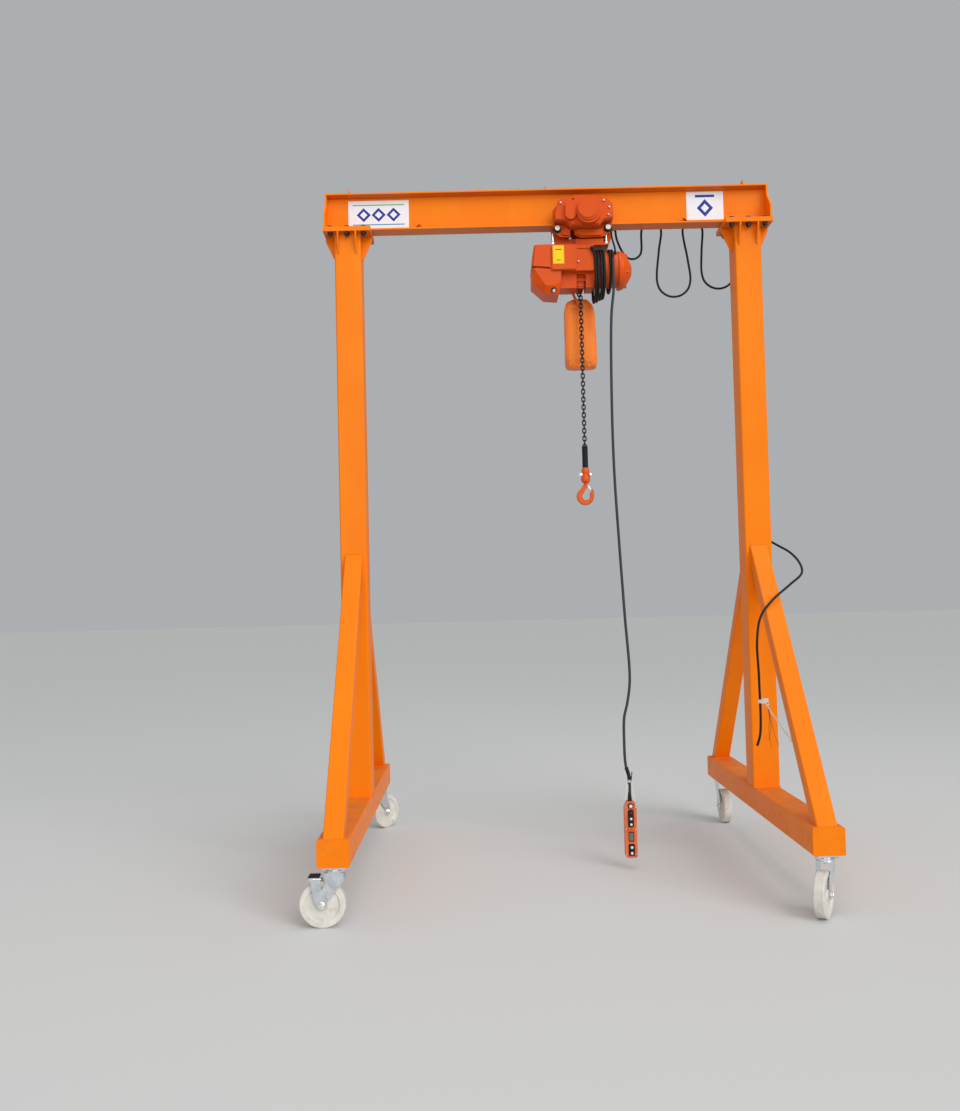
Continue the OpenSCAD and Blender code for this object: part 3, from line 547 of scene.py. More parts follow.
def printed(name, ground, marks):
    """A printed plate: a ground colour, then each mark's colour where its shape covers, with faint
    streaks of dirt over both. A mark is (colour, shape), and a shape turns a finish into a mask."""
    f = Finish(name, coat=0.08, coat_roughness=0.2, specular=0.22)
    shade = ground
    for colour, shape in marks:
        shade = f.mix(shape(f), shade, colour)
    dirt = f.noise(18, 6, 0.65, stretch=(1, 1, 0.3)).ramp(0.52, 0.8)
    shade = f.mix(dirt * 0.22, shade, (150, 140, 124))
    return f.surface(shade, 0.32 + dirt * 0.3, f.noise(90, 3, 0.5), 0.0005, 0.3)


def oblong(x0, x1, z0, z1):
    """A mask that is 1 between x0 and x1 and between z0 and z1."""
    def mask(f):
        x, z = f.axis("X"), f.axis("Z")
        return (x > x0) * (x < x1) * (z > z0) * (z < z1)
    return mask


def lozenge(x, z, wide, high):
    """A mask that is 1 where the shares of the half width and half height add up to less than 1."""
    return lambda f: (abs(f.axis("X") - x) / wide + abs(f.axis("Z") - z) / high) < 1


def frame_line(x0, x1, z0, z1, line):
    """A mask for a line round an oblong: the outer oblong less the inner one."""
    outer, inner = oblong(x0, x1, z0, z1), oblong(x0 + line, x1 - line, z0 + line, z1 - line)
    return lambda f: outer(f) - inner(f)


BY_SLOT = {
    "frame_paint": enamel("frame_enamel", (250, 130, 2), (242, 118, 1), (255, 142, 8),
                          peel=0.1, coat=0.04, sheen=0.14),
    "hoist_paint": enamel("hoist_enamel", (222, 82, 2), (204, 68, 1), (234, 96, 8),
                          peel=0.14, coat=0.1, sheen=0.17, cast=0.1),
    "zinc": zinc_plate("zinc_plate", (236, 240, 244), (202, 208, 216)),
    "dark_steel": oily_steel("dark_steel", (46, 46, 50), (84, 62, 46)),
    "chain_steel": oily_steel("chain_steel", (40, 38, 40), (70, 54, 44)),
    "nylon": cast_nylon("wheel_nylon"),
    "black_plastic": rubber("black_plastic", (28, 28, 30), (96, 90, 82), 0.4, 0.25),
    "black_rubber": rubber("black_rubber", (24, 24, 26), (90, 86, 80), 0.55),
    "cable": rubber("cable_sheath", (22, 22, 25), (84, 80, 76), 0.46, 0.18),
    "bag_cloth": coated_cloth("bag_cloth"),
    "pendant_shell": moulded_shell("pendant_shell"),
}
hook_paint = enamel("hook_enamel", (228, 98, 28), (206, 80, 20), (244, 122, 52),
                    peel=0.3, coat=0.1, sheen=0.25, cast=0.3)
BY_NODE = {
    "cross_bars": bar_and_nuts("cross_bar_steel", [(0.05, 3.339), (0.318, 3.339)], 0.0131),
    "festoon_rail": zinc_plate("rail_zinc", (190, 194, 198), (150, 156, 162), (0.1, 1, 1)),
    "hook_block": hook_paint, "load_hook": hook_paint, "hook_latch": BY_SLOT["zinc"],
}
# A lighter copy of the zinc finish for small fittings: partly brighter plating, partly a painted
# highlight
zinc_bright_and_highlit = zinc_plate("zinc_bright_and_highlit", (252, 250, 246), (236, 232, 224))
# Its grey second colour is painted light on the run that hangs in front of the hoist
pendant_sheath = rubber("pendant_sheath", (21, 20, 22), (84, 82, 78), 0.52, 0.14,
                        hanging=(56, 59, 62))
# Brown finish of the thin strands that hang from the supply clip
brown_strand_finish = rubber("brown_strand_finish", (150, 72, 22), (150, 100, 66), 0.45, 0.1)
white_nylon = rubber("white_nylon", (232, 228, 222), (180, 172, 160), 0.42, 0.2)
stop_red = rubber("stop_red", (120, 18, 22), (150, 90, 80), 0.38, 0.2)
label_grey = rubber("window_grey", (108, 112, 100), (140, 136, 124), 0.3, 0.2)

WHITE, BLUE, DARK = (240, 240, 244), (26, 52, 156), (70, 60, 20)
name_print = printed("name_plate_print", WHITE, [
    ((120, 176, 116), oblong(-1.036, -0.760, 3.516, 3.522)),
    ((70, 150, 190), oblong(-1.036, -0.760, 3.410, 3.416)),
    *((BLUE, lozenge(x, 3.466, 0.038, 0.038)) for x in (-0.978, -0.898, -0.818)),
    *((WHITE, lozenge(x, 3.466, 0.020, 0.020)) for x in (-0.978, -0.898, -0.818)),
])
load_print = printed("load_plate_print", WHITE, [
    (BLUE, oblong(0.800, 0.904, 3.520, 3.534)), (BLUE, lozenge(0.852, 3.462, 0.044, 0.048)),
    (WHITE, lozenge(0.852, 3.462, 0.022, 0.024)),
])
case_print = printed("case_label_print", (255, 206, 4), [
    ((232, 172, 0), frame_line(0.0235, 0.0775, 3.1455, 3.2375, 0.002)),
    (DARK, oblong(0.034, 0.067, 3.216, 3.221)), (DARK, oblong(0.040, 0.061, 3.160, 3.164)),
])


# Cables come first: festoon, supply lead, pendant cable with its spare turns round the motor,
# the travel motor's lead, and the tie that holds the supply lead to the brace

CABLE_R = 6
PENDANT_R = 7
DRIVE_LEAD_R = 5
TIE_R = 3.2
WINDING_R = 106
WINDING_TOP = 3132.3


def rail_arc(x, z, r, first, last, count):
    """Points of an arc below the festoon rail: (x + r cos a, z + r sin a), a in degrees."""
    a = np.radians(np.linspace(first, last, count))
    points = [x + r * np.cos(a), np.full(count, float(RAIL_Y)), z + r * np.sin(a)]
    return np.column_stack(points).tolist()


def under_saddle(carrier):
    """Five points of the half circle in which the cable lies under a carrier's saddle."""
    return rail_arc(CARRIERS[carrier], SADDLE_Z, SADDLE_R, 180, 0, 5)


# The festoon hangs in three loops, with a bend under each of its two carriers between them
FESTOON_ROUTE = [
    (393, 180, 3416), (398, 180, 3372), (415, 180, 3322), *rail_arc(483, 3304, 52, 213, 362, 6),
    *under_saddle("cable_carrier_1"), (630, 180, 3290), *rail_arc(708, 3128, 92, 182, 360, 6),
    (789, 180, 3240), *under_saddle("cable_carrier_2"), (867, 180, 3290),
    *rail_arc(955, 3167, 91, 182, 340, 6), (1047, 180, 3270), (1051, 180, 3400), (1052, 180, 3480),
]
LEAD_ROUTE = [
    (1069, 180, 3480), (1069, 180, 3400), (1070, 135, 3300), (1068, 84, 3160), (1062, 76.3, 2900),
    (1062, 76.3, 2300), (1063, 77, 1880), (1078, 86, 1776), (1122, 94, 1700), (1186, 66, 1652),
    (1241, 4, 1606), (1264, -78, 1552), (1248, -178, 1490), (1158, -266, 1430), (1056, -315, 1356),
    (986, -345, 1276), (962, -352, 1160), (965, -352, 970), (962, -352, 700), (945, -352, 640),
]
DRIVE_LEAD_ROUTE = [
    (338, -60.6, 3360), (338.5, -60.6, 3325), (340, -61, 3298), (346, -66, 3268), (352, -73, 3240),
    (354, -73.5, 3220), (354, -67.3, 3205.5),
]
TIE_ROUTE = [
    (991, -353, 852), (997, -440, 812), (1004, -540, 771), (1010, -640, 733), (1012.6, -694, 715),
]

# The pendant cable: out of the centre block, round the motor and down. A turn is its X and the Z
# of its lower half circle's middle. The last one lifts off so many degrees up from the back
GLAND_ROUTE = [
    (227, -107.5, 3226), (236, -109, 3206), (243, -109, 3182), (245.5, -107.2, 3155),
    (245.5, -106, 3132.3),
]
TURNS = [(245.5, 3074), (259.8, 3079), (277, 3089), (291.3, 3094), (325, 3123), (339.3, 3132.3)]
LIFT_OFF = 125
PENDANT_ROUTE = [
    (339.3, -60.8, 3219.1), (338.6, -84, 3202.5), (337.4, -104, 3183), (336.3, -116.5, 3158),
    (335.6, -121, 3125), (334, -122, 3001.4), (318, -126, 2860), (306, -130, 2400),
    (308, -132, 2040), (322, -132, 1680), (340, -132, 1300), (356, -132, 960), (340, -132, 844),
    (322, -132, 770), (318, -132, 651), (322, -132, 529), (338, -132, 464), (338, -132, 345),
]


def winding():
    """Turns round the motor. Seen along X, a turn is a lower half circle, y = -R cos a and
    z = low - R sin a, then an upper one, y = R cos a and z = top + R sin a, with straight sides
    between. From the lowest point to the highest, behind the motor, X slides to the next turn."""
    a = np.linspace(0, np.pi, 37)
    line = []
    for (x, low), (next_x, _) in zip(TURNS, TURNS[1:]):
        last = next_x == TURNS[-1][0]
        over = a[a <= radians(LIFT_OFF)] if last else a
        lower = np.stack([-WINDING_R * np.cos(a), low - WINDING_R * np.sin(a)], axis=1)
        upper = np.stack([WINDING_R * np.cos(over), WINDING_TOP + WINDING_R * np.sin(over)], axis=1)
        turn = respaced(np.vstack([[(-WINDING_R, WINDING_TOP)], lower, upper]), 9)
        share = np.zeros(len(turn))
        bottom, top = np.argmin(turn[:, 1]), np.argmax(turn[:, 1])
        share[bottom:top] = np.linspace(0, 1, top - bottom)
        share[top:] = 1
        share = share * share * (3 - 2 * share)
        line.append(np.column_stack([x + (next_x - x) * share, turn])[:-1])
    return np.vstack(line)


def declare_cord(line):
    """Works out the cable's centreline and its first point in metres, and keeps neither."""
    line[0] * MM
    line * MM


def sleeve(start, end, thick, thin, steps=7):
    """A tapered sleeve with grooves along a straight line: its radius falls evenly from thick to
    thin, less 0.6 mm in every second ring, and both ends are closed."""
    start, end = np.asarray(start, float), np.asarray(end, float)
    t = np.repeat(np.linspace(0, 1, 2 * steps), 2)[1:-1]
    radius = thick + (thin - thick) * t - 0.6 * (np.arange(len(t)) // 2 % 2)
    length = np.linalg.norm(end - start)
    profile = np.column_stack([radius, t * length])
    return turned(profile, [start], end - start, 20)


def make_festoon():
    """The festoon cable."""
    line = smooth_route(FESTOON_ROUTE, 9)
    made = piece("festoon_run", tube(line, CABLE_R, 14, (0, 1, 0)), None, "cable")
    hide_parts("festoon_cable")
    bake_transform(made)
    declare_cord(line)


def make_supply_lead():
    """The supply lead, with its clip, three thin brown strands hanging from the clip, and the tie
    to the front brace.
    """
    line = smooth_route(LEAD_ROUTE, 9)
    made = piece("supply_run", tube(line, CABLE_R, 14, (1, -1, 0)), "crane", "cable")
    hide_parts("supply_lead")
    clip = piece("supply_clip", clip_shape(), "crane", "black_plastic", white_nylon, False)
    # Three thin brown strands hang down from the clip
    roots = [(1000, -354, 842), (1004, -354, 842), (1002, -357, 842)]
    tips = [[(1008, -354, 790), (1004, -356, 700), (1016, -356, 632)],
            [(1012, -354, 790), (1028, -357, 705), (1050, -358, 640)],
            [(1009, -358, 790), (1014, -360, 730), (1000, -362, 668)]]
    strands = [tube(smooth_route([root, *tip], 6), 1.1, 8, (0, 1, 0))
               for root, tip in zip(roots, tips)]
    brown_strands = piece("supply_brown_strands", joined(strands), "crane", "cable", brown_strand_finish)
    declare_cord(line)
    tie = smooth_route(TIE_ROUTE, 6)
    strap = piece("supply_tie", tube(tie, TIE_R, 10, (0, 0, 1)), "crane", "black_plastic",
                  white_nylon)
    pad = turned([(8, 0), (8, 3), (5, 9)], [(1015.2, -700, 712)], (-1, 0.3, 0.1), 16)
    pad = piece("tie_pad", pad, "crane", "black_plastic", white_nylon)
    declare_cord(tie)


def clip_shape():
    """Cable clip on the supply lead: a ring round the lead and two small blocks beside it."""
    band = [(6.2, -9), (8.6, -9), (8.6, 9), (6.2, 9)]
    ring = turned(band, [(966.5, -352, 858)], (0.03, 0, 1), 20)
    blocks = [plate(973, 1006, 846, 872, -345, 13, 3), plate(994, 1008, 838, 850, -348, 10, 2)]
    return joined([ring, *blocks])


def make_pendant_cable():
    """The pendant cable with its gland, the boot on the pendant, a taped length and a cable tie."""
    across = (1, 0.2, 0)
    hanging = smooth_route(PENDANT_ROUTE, 9)
    line = np.vstack([smooth_route(GLAND_ROUTE, 9)[:-1], winding(), hanging])
    made = piece("pendant_run", tube(line, PENDANT_R, 14, across), "trolley", "cable",
                 pendant_sheath)
    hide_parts("pendant_cable", "cable_winding")
    start = np.array(GLAND_ROUTE[0], float)
    gland = piece("pendant_gland", sleeve(start + (-2, 0.4, 5), start + (9, -1.5, -20), 10.4, 7.9),
                  "trolley", "black_rubber")
    boot = piece("pendant_boot", sleeve((*PENDANT_AT, 344), (*PENDANT_AT, 388), 12, 7.6),
                 "trolley", "black_rubber")
    held = hanging[(hanging[:, 2] > 450) & (hanging[:, 2] < 520)]
    folds = 9.6 + 0.7 * np.cos(np.arange(len(held)) * 2.1)
    wrap = piece("pendant_wrap", tube(held, folds, 16, across), "trolley", "black_rubber")
    band = [(7.1, -2.4), (8.9, -2.4), (8.9, 2.4), (7.1, 2.4)]
    tail = [(331, -139, 433), (338, -140.5, 434), (345, -136, 442), (350, -134, 465),
            (353, -134, 492)]
    loops = [turned(band, [(337.4, -132, 434)], (0, 0, 1), 20),
             tube(smooth_route(tail, 3), 2.4, 8, (0, 1, 0.2))]
    tie = piece("pendant_tie", joined(loops), "trolley", "black_plastic")
    declare_cord(line)


def make_drive_lead():
    """The travel motor's short lead, with a gland at each end."""
    line = smooth_route(DRIVE_LEAD_ROUTE, 6)
    made = piece("drive_run", tube(line, DRIVE_LEAD_R, 12, (1, 0, 0)), "trolley", "cable")
    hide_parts("drive_lead")
    ends = [sleeve((338, -60.6, 3361), (338.3, -60.6, 3338), 7.6, 5.8, 4),
            sleeve((354, -66.9, 3204.6), (354, -73, 3219), 9, 5.9, 4)]
    glands = piece("drive_glands", joined(ends), "trolley", "black_rubber")
    declare_cord(line)


# The pendant's face: each button's height and radius, from the top down

BUTTONS = [(322, 11), (288, 9), (258, 8), (230, 8), (114, 9), (85, 9)]


def dress_pendant():
    """Caps and guard rings of the buttons, dark plates, a window, screws, the two steel straps up
    to the yoke and the parting seam."""
    x, y = PENDANT_AT
    front = PENDANT_FACE
    caps = {"pendant_cap_top": (white_nylon, [0]), "pendant_cap_stop": (stop_red, [1]),
            "pendant_caps_white": (white_nylon, [2, 3, 4, 5])}
    for name, (finish, which) in caps.items():
        shapes = [turned([(0.8 * r, 0), (0.8 * r, 3), (0.66 * r, 4.6), (0.3 * r, 5.4)],
                         [(x, front - 8, z)], (0, -1, 0), 20)
                  for z, r in [BUTTONS[i] for i in which]]
        piece(name, joined(shapes), "trolley", "black_plastic", finish)
    guards = [turned([(r + 0.3, 0), (r + 3.2, 0), (r + 2.6, 4), (r + 0.3, 4)],
                     [(x, front, z)], (0, -1, 0), 28) for z, r in BUTTONS]
    plates = [plate(x - half, x + half, low, high, front, thick, corner)
              for half, low, high, thick, corner in
              [(14, 142, 192, 1.2, 4), (16, 70, 131, 1.0, 8), (15, 214, 304, 0.8, 10)]]
    piece("pendant_guards", joined(guards + plates), "trolley", "black_plastic", smooth=False)
    piece("pendant_window", plate(x - 10.5, x + 10.5, 147, 187, front - 1.2, 0.5, 2),
          "trolley", "black_plastic", label_grey, False)
    screws = [(x + i * 25, front + 0.2, z) for i in (-1, 1) for z in (78, 206, 316)]
    piece("pendant_screws", socket_head(screws, (0, -1, 0), 3, 1.6), "trolley", "zinc")
    straps = [ribbon([(x + i * 8.5, y, 449), (x + i * 17, y, 394), (x + i * 26, y, 338)],
                     8, 5, (1, 0, 0)) for i in (-1, 1)]
    piece("pendant_straps", joined(straps), "trolley", "zinc", zinc_bright_and_highlit, False)
    seams = [bead((x + i * 31, y, 72), (x + i * 31, y, 308), 1.1, 60) for i in (-1, 1)]
    piece("pendant_seam", joined(seams), "trolley", "pendant_shell")


# Soft and hanging pieces of the hoist

def make_load_chain():
    """Links one below the other, each turned a quarter about the chain. A link's centre line is a
    stadium: half circles of the bend's radius, lifted and lowered by half the straight side."""
    half = (CHAIN_PITCH + CHAIN_WIRE + 0.4) / 2 - LINK_BEND
    n = 20
    a = np.linspace(0, tau, n, endpoint=False) + tau / (2 * n)
    side, height = LINK_BEND * np.cos(a), LINK_BEND * np.sin(a) + half * np.sign(np.sin(a))
    one_way = tube(np.column_stack([side, 0 * a, height]), CHAIN_WIRE / 2, 8, (0, 1, 0), True)
    other_way = tube(np.column_stack([0 * a, side, height]), CHAIN_WIRE / 2, 8, (1, 0, 0), True)
    links = []
    for i in range(CHAIN_LINKS):
        points, faces = other_way if i % 2 else one_way
        links.append((points + (CHAIN_X, 0, CHAIN_Z0 - i * CHAIN_PITCH), faces))
    made = piece("load_chain_links", joined(links), "trolley", "chain_steel")
    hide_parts("load_chain")
    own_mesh(made)


# Height, left, right, front and back of the bag, from the middle of its base up to its mouth, which
# is turned inwards
BAG_PROFILE = [
    (2631, 172, 175, 95, 97), (2630, 130, 218, 66, 126), (2631, 106, 244, 54, 138),
    (2637, 95, 256, 48.5, 143.5), (2653, 90.5, 260.3, 46.6, 145.4),
    (2690, 89.6, 260.6, 46.3, 145.7), (2760, 89.6, 259, 46.4, 145.6),
    (2840, 90, 257, 46.6, 145.4), (2900, 90, 255.4, 47, 145),
    (2932, 90.3, 253.5, 47.4, 144.6), (2957, 92, 248, 49, 143), (2975, 97, 240, 52, 140),
    (2988, 106, 230, 56, 136), (2997.5, 122, 218, 60, 132), (3001.5, 137, 207, 62.5, 129.5),
    (2999, 140, 204, 64.5, 127.5), (2990, 141, 203, 65, 127), (2960, 141, 203, 65, 127),
]


def make_chain_bag():
    """The cloth bag: at each height its section is a rounded oblong, where cosine and sine are each
    taken to the power 0.42 with their sign kept, stretched between the profile's four sides. Folds
    run down it: each is a cosine of the way round, bent by height, and they only go inwards."""
    rows = smooth_route(BAG_PROFILE, 7)
    a = np.linspace(0, tau, 132, endpoint=False)
    c, s = (np.sign(w) * np.abs(w) ** 0.42 for w in (np.cos(a), np.sin(a)))
    z, left, right, front, back = (rows[:, k, None] for k in range(5))
    x = (left + right) / 2 + (right - left) / 2 * c
    y = (front + back) / 2 + (back - front) / 2 * s
    upper = np.clip((z - 2860) / 140, 0, 1)
    lower = np.clip((2760 - z) / 130, 0, 1)
    wander = 0.5 * np.sin(z / 43) + 0.3 * np.sin(z / 17 + 2)
    pleat = 0.5 - 0.5 * np.cos(9 * a + wander)
    crease = (0.5 - 0.5 * np.cos(17 * a - 1.7 * wander + 0.8)) ** 3
    slump = (0.5 - 0.5 * np.cos(5 * a + z / 31)) ** 2
    depth = pleat * (1.2 + 3.2 * upper) + crease * (1.0 + 1.6 * upper) + slump * (1.4 * lower + 0.8)
    depth *= np.clip((z - 2628) / 12, 0, 1) * np.clip((right - left - 60) / 40, 0.25, 1)
    middle_x, middle_y = (left + right) / 2, (front + back) / 2
    away = np.stack(np.broadcast_arrays(x - middle_x, y - middle_y), axis=-1)
    inward = away / np.maximum(np.linalg.norm(away, axis=-1, keepdims=True), 1)
    x, y = x - depth * inward[..., 0], y - depth * inward[..., 1]
    z = z - 0.5 * depth * upper + 0 * a
    points = np.stack([x, y, z], axis=-1).reshape(-1, 3)
    faces = quads(len(rows), len(a)) + [list(range(len(a)))[::-1]]
    bag = piece("chain_bag_cloth", (points, faces), "trolley", "bag_cloth")
    wall = bag.modifiers.new("cloth_thickness", "SOLIDIFY")
    wall.thickness = 0.0016
    wall.offset = -1
    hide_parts("chain_bag")
    mouth = [172 + 35.5 * np.cos(a), 96 + 34 * np.sin(a), 3000.5 + 1.2 * np.cos(2 * a)]
    hem = tube(np.stack(mouth, axis=1), 2.4, 10, (0, 0, 1), True)
    strap = ribbon([(137, 43, 3030), (140, 42, 3016), (149, 41.5, 2998), (158, 42, 2984),
                    (163, 44, 2974), (165, 46.5, 2962)], 14, 1.8, (1, 0, 0.5))
    piece("chain_bag_trim", joined([hem, strap]), "trolley", "bag_cloth")


def ribbon(points, width, thick, across):
    """A flat strap along a curve: each cross-section is an oblong, width by thick, square to the
    curve, with its width along the given direction."""
    line = smooth_route(points, 3)
    ahead = unit(np.gradient(line, axis=0))
    wide = unit(across - ahead * (ahead @ np.asarray(across, float))[:, None])
    deep = np.cross(ahead, wide)
    corners = [(-1, -1), (1, -1), (1, 1), (-1, 1)]
    rings = np.stack([line + wide * u * width / 2 + deep * v * thick / 2 for u, v in corners],
                     axis=1)
    n = len(line)
    caps = [[0, 1, 2, 3], [4 * n - 1, 4 * n - 2, 4 * n - 3, 4 * n - 4]]
    return rings.reshape(-1, 3), quads(n, 4) + caps


# Small fittings

def make_carrier_straps():
    """A strap under the cable at each carrier, with its ends up the sides of the saddle. It is
    narrow, so that it stays clear of the cable when the trolley pushes the carriers together."""
    side = [(12.9, 3488), (12.9, 3476), (11.6, 3464), (6.5, 3455.8), (0, 3454.2)]
    whole = side + [(-y, z) for y, z in side[-2::-1]]
    for name, x in CARRIERS.items():
        strap = ribbon([(x, RAIL_Y + y, z) for y, z in whole], 6.5, 1.4, (1, 0, 0))
        bolts = hex_head([(x, RAIL_Y + 13.4, 3481), (x, RAIL_Y - 13.4, 3481)], (0, 1, 0), 7, 3)
        piece(f"{name}_strap", joined([strap, bolts]), name, "black_plastic", smooth=False)


def box_welds(x0, x1, y0, y1, z):
    """Four runs round an upright tube where it stands on a flat top."""
    r = 3.2
    corners = [(x0, y0), (x1, y0), (x1, y1), (x0, y1)]
    return [bead((*p, z), (*q, z), r) for p, q in zip(corners, corners[1:] + corners[:1])]


def upright_welds(x, y, low, high, radius, sides):
    """Upright weld runs beside x, one at each of the given distances from it."""
    return [bead((x + i, y, low), (x + i, y, high), radius) for i in sides]


def make_welds():
    """Weld runs where the frame's parts meet: at each leg the post and braces on the base beam, the
    braces on the post, the head plate's ribs, the beam's foot, the end caps and the end plate, and
    then the rail's arms and the stops on the beam."""
    runs = []
    for side in (-1, 1):
        x = side * POST_X
        runs += box_welds(x - POST_HALF, x + POST_HALF, -POST_HALF, POST_HALF, BASE_TOP)
        for s in (-1, 1):
            foot = sorted(s * y for y in BRACE_FOOT)
            runs += box_welds(x - BRACE_HALF, x + BRACE_HALF, *foot, BASE_TOP)
            face = s * (POST_HALF + 0.5)
            runs += upright_welds(x, face, 1532, BRACE_TOP - 2, 3, (-BRACE_HALF, BRACE_HALF))
            left, right = x - BRACE_HALF, x + BRACE_HALF
            runs.append(bead((left, face, BRACE_TOP), (right, face, BRACE_TOP), 3))
            runs += upright_welds(x, s * POST_HALF, 3242, HEAD_PLATE_UNDER, 2.4, (-51, -43, 43, 51))
            runs += upright_welds(x, s * 4, 3222, HEAD_PLATE_UNDER, 2.4, (-POST_HALF, POST_HALF))
            seam, right = BEAM_UNDER + 0.5, x + 122 - 12 * (side > 0)
            runs.append(bead((x - 122, s * 50, seam), (right, s * 50, seam), 3.4))
            cap = s * (BASE_END - 6)
            runs += [bead((x - 66, cap, z), (x + 66, cap, z), 1.5) for z in (BASE_TOP, BASE_UNDER)]
            runs += upright_welds(x, cap, BASE_UNDER + 7, BASE_TOP - 7, 1.5,
                                  (-BASE_HALF, BASE_HALF))
            runs += upright_welds(side * END_PLATE_X, s * 4, 3388, 3552, 3, (0,))
    top = BEAM_TOP + 0.5
    runs += [bead((x - 2.5, -6, top), (x - 2.5, 48, top), 2.4) for x in (-POST_X, 0, POST_X)]
    runs += [bead((x + i * 21, s * 47, 3379), (x + i * 21, s * 12, 3385), 2.2)
             for x in STOPS_X for i in (-1, 1) for s in (-1, 1)]
    piece("weld_beads", joined(runs), "crane", "frame_paint")


def make_caster_nuts():
    """Bolts of the caster plates, the nut below each pivot, and a washer, a nut and the axle's end
    at both sides of each fork."""
    bolts = [(x + i * 40, y + j * 44, CASTER_PLATE_UNDER)
             for x, y, _ in CASTERS.values() for i in (-1, 1) for j in (-1, 1)]
    piece("caster_plate_bolts", hex_head(bolts, (0, 0, -1), 17, 6.4), "crane", "zinc", smooth=False)
    for name, (x, y, _) in CASTERS.items():
        nut = hex_head([(x, y, KING_NUT_TOP)], (0, 0, -1), 24, 10)
        piece(f"caster_king_nut_{name}", nut, f"caster_fork_{name}", "zinc", smooth=False)
    for name, (x, y, turn) in CASTERS.items():
        ahead = np.array([np.cos(radians(turn)), np.sin(radians(turn)), 0])
        across = np.array([-ahead[1], ahead[0], 0])
        axle = (x, y, AXLE_UP) + AXLE_TRAIL * ahead
        out = AXLE_NUT_OUT + (BRAKE_WIDER if name == "fl" else 0)
        nuts = []
        for way in (-across, across):
            washer = [(15, -1), (15, 1.8), (13.6, 2.4)]
            nuts += [turned(washer, [axle + out * way], way, 24),
                     hex_head([axle + (out + 2) * way], way, 21, 9.5),
                     turned([(6, 0), (6, 3.4), (4.6, 4.6)], [axle + (out + 11.4) * way], way, 16)]
        piece(f"caster_axle_nuts_{name}", joined(nuts), f"caster_fork_{name}", "zinc", zinc_bright_and_highlit,
              False)


def make_hoist_screws():
    """Screws of the drive cover and the hoist, the drain plug, and the bolts of the hook block."""
    drive = [(66, 3454), (292, 3462), (320, 3426), (314, 3386)]
    heads = [socket_head([(x, -155, z) for x, z in drive], (0, -1, 0), 4.6, 3.4),
             socket_head([(156, -105, 3158)], (0, -1, 0), 4.4, 3.4)]
    piece("hoist_cover_screws", joined(heads), "trolley", "zinc")
    outwards = (0, -0.835, -0.55)
    plug = hex_head([(24, -90.5, 3010)], outwards, 17, 9)
    piece("drain_plug", plug, "trolley", "zinc", smooth=False)
    washer = turned([(14.5, -2), (14.5, 2), (13, 3)], [(24, -89.5, 3012)], outwards, 24)
    piece("drain_plug_washer", washer, "trolley", "black_rubber")
    for name, way, height in (("bolts", -1, 7), ("nuts", 1, 6)):
        ends = [(CHAIN_X + i * 25, way * 18.2, HOOK_PINS_Z) for i in (-1, 1)]
        heads = hex_head(ends, (0, way, 0), 15, height)
        piece(f"hook_block_{name}", heads, "hook_assembly", "zinc", zinc_bright_and_highlit, False)


def make_brake_pad():
    """Ribbed rubber tread on the brake pedal of the front left caster, and the pedal's lip in the
    lighter zinc, whose brightness is partly a painted highlight along the pedal's edge.
    """
    x, y, _ = CASTERS["fl"]
    shapes = [bar(x - 113, x - 66, y - 31, y + 31, 217.5, 221.5)]
    shapes += [bar(x - 112 + 9.5 * i, x - 107 + 9.5 * i, y - 29, y + 29, 221.5, 224)
               for i in range(5)]
    piece("brake_pedal_pad", joined(shapes), "caster_fork_fl", "black_rubber", smooth=False)
    # The lip's lighter zinc stands partly for a highlight along the pedal's edge
    lip = [(x - 55, y - 36, 212), (x - 66, y - 37.5, 213), (x - 108, y - 37.5, 213),
           (x - 117, y - 32, 213), (x - 118.5, y - 20, 213), (x - 118.5, y + 28, 213)]
    lip = tube(smooth_route(lip, 4), 3.4, 10, (0, 0, 1))
    piece("brake_pedal_lip", lip, "caster_fork_fl", "zinc", zinc_bright_and_highlit)


def bar(x0, x1, y0, y1, z0, z1):
    """An oblong bar with chamfered upper edges: two rings of corners, then a smaller one on top."""
    ring = np.array([(x0, y0), (x1, y0), (x1, y1), (x0, y1)], float)
    middle = ring.mean(axis=0)
    inner = middle + (ring - middle) * (1 - 1.6 / np.abs(ring - middle))
    levels = [(ring, z0), (ring, z1 - 0.8), (inner, z1)]
    points = np.vstack([np.column_stack([flat, np.full(4, z)]) for flat, z in levels])
    return points, quads(3, 4) + [[3, 2, 1, 0], [8, 9, 10, 11]]


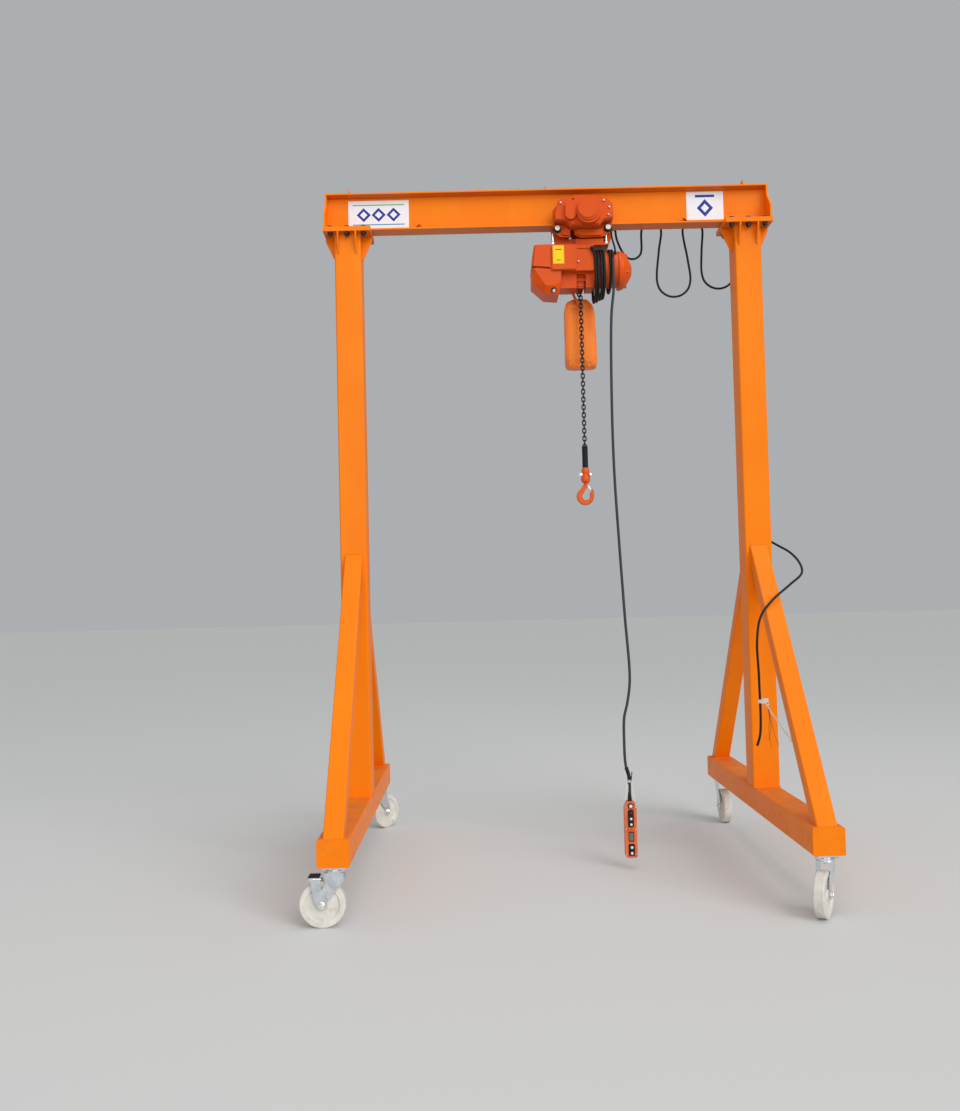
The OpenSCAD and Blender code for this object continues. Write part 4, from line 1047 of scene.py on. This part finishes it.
def make_signs():
    """Two plates on the beam and a label on the gear case, with plain shapes for print."""
    for name, shape, body, finish in (
            ("name_plate_blank", plate(-1060, -736, 3389, 3543, -3.6, 0.9, 3), "crane", name_print),
            ("load_plate_blank", plate(753, 951, 3398, 3551, -3.6, 0.9, 3), "crane", load_print),
            ("case_label_blank", plate(21, 80, 3143, 3240, -118.1, 0.7, 2), "trolley", case_print)):
        piece(name, shape, body, "black_plastic", finish, False)


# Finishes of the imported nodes

def dress_nodes():
    """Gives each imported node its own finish, or else the finish of its material slot."""
    for entry in frame["record"]["subparts"]:
        finish = BY_NODE.get(entry["node"], BY_SLOT[entry["material_slot"]])
        node = frame["nodes"][entry["node"]]
        node.data.materials.clear()
        node.data.materials.append(finish.material)


make_festoon()
make_supply_lead()
make_pendant_cable()
make_drive_lead()
dress_pendant()
make_load_chain()
make_chain_bag()
make_carrier_straps()
make_welds()
make_caster_nuts()
make_hoist_screws()
make_brake_pad()
make_signs()
dress_nodes()


# Studio

def plain_floor():
    """A wide pale floor under the wheels, which is no piece of the object."""
    f = Finish("floor_grey", roughness=0.75, specular=0.2)
    f.set("Base Color", linear((214, 214, 212)))
    reach = 60000
    points = [(-reach, -reach, 0), (reach, -reach, 0), (reach, reach, 0), (-reach, reach, 0)]
    floor = mesh_object("floor", (points, [[0, 1, 2, 3]]), f, False)


def lamp(name, kind, place, target, power, **settings):
    """A lamp at a place, turned towards a target, with its width or angle and shape as settings."""
    data = bpy.data.lights.new(name, kind)
    data.energy = power
    for key, value in settings.items():
        setattr(data, key, value)
    facing = (Vector(place) - Vector(target)).to_track_quat("Z", "Y")
    placed(name, data).matrix_world = Matrix.Translation(place) @ facing.to_matrix().to_4x4()


def studio_light():
    """Soft light all round, a broad key light from the front right, and two large square lamps."""
    world = bpy.data.worlds.new("studio")
    world.use_nodes = True
    sky = world.node_tree.nodes["Background"].inputs
    sky["Color"].default_value = (0.94, 0.97, 1, 1)
    sky["Strength"].default_value = 0.44
    bpy.context.scene.world = world
    lamp("key", "SUN", (5, -7.2, 5), (0, 0, 0), 1.55, angle=radians(40))
    lamp("front", "AREA", (-1.5, -11, 4.5), (0, 0, 1.6), 190, shape="SQUARE", size=5)
    lamp("overhead", "AREA", (1, -1.5, 9.5), (0.2, 0, 1.5), 170, shape="SQUARE", size=5)


plain_floor()
studio_light()
bpy.context.scene.view_settings.view_transform = "Standard"
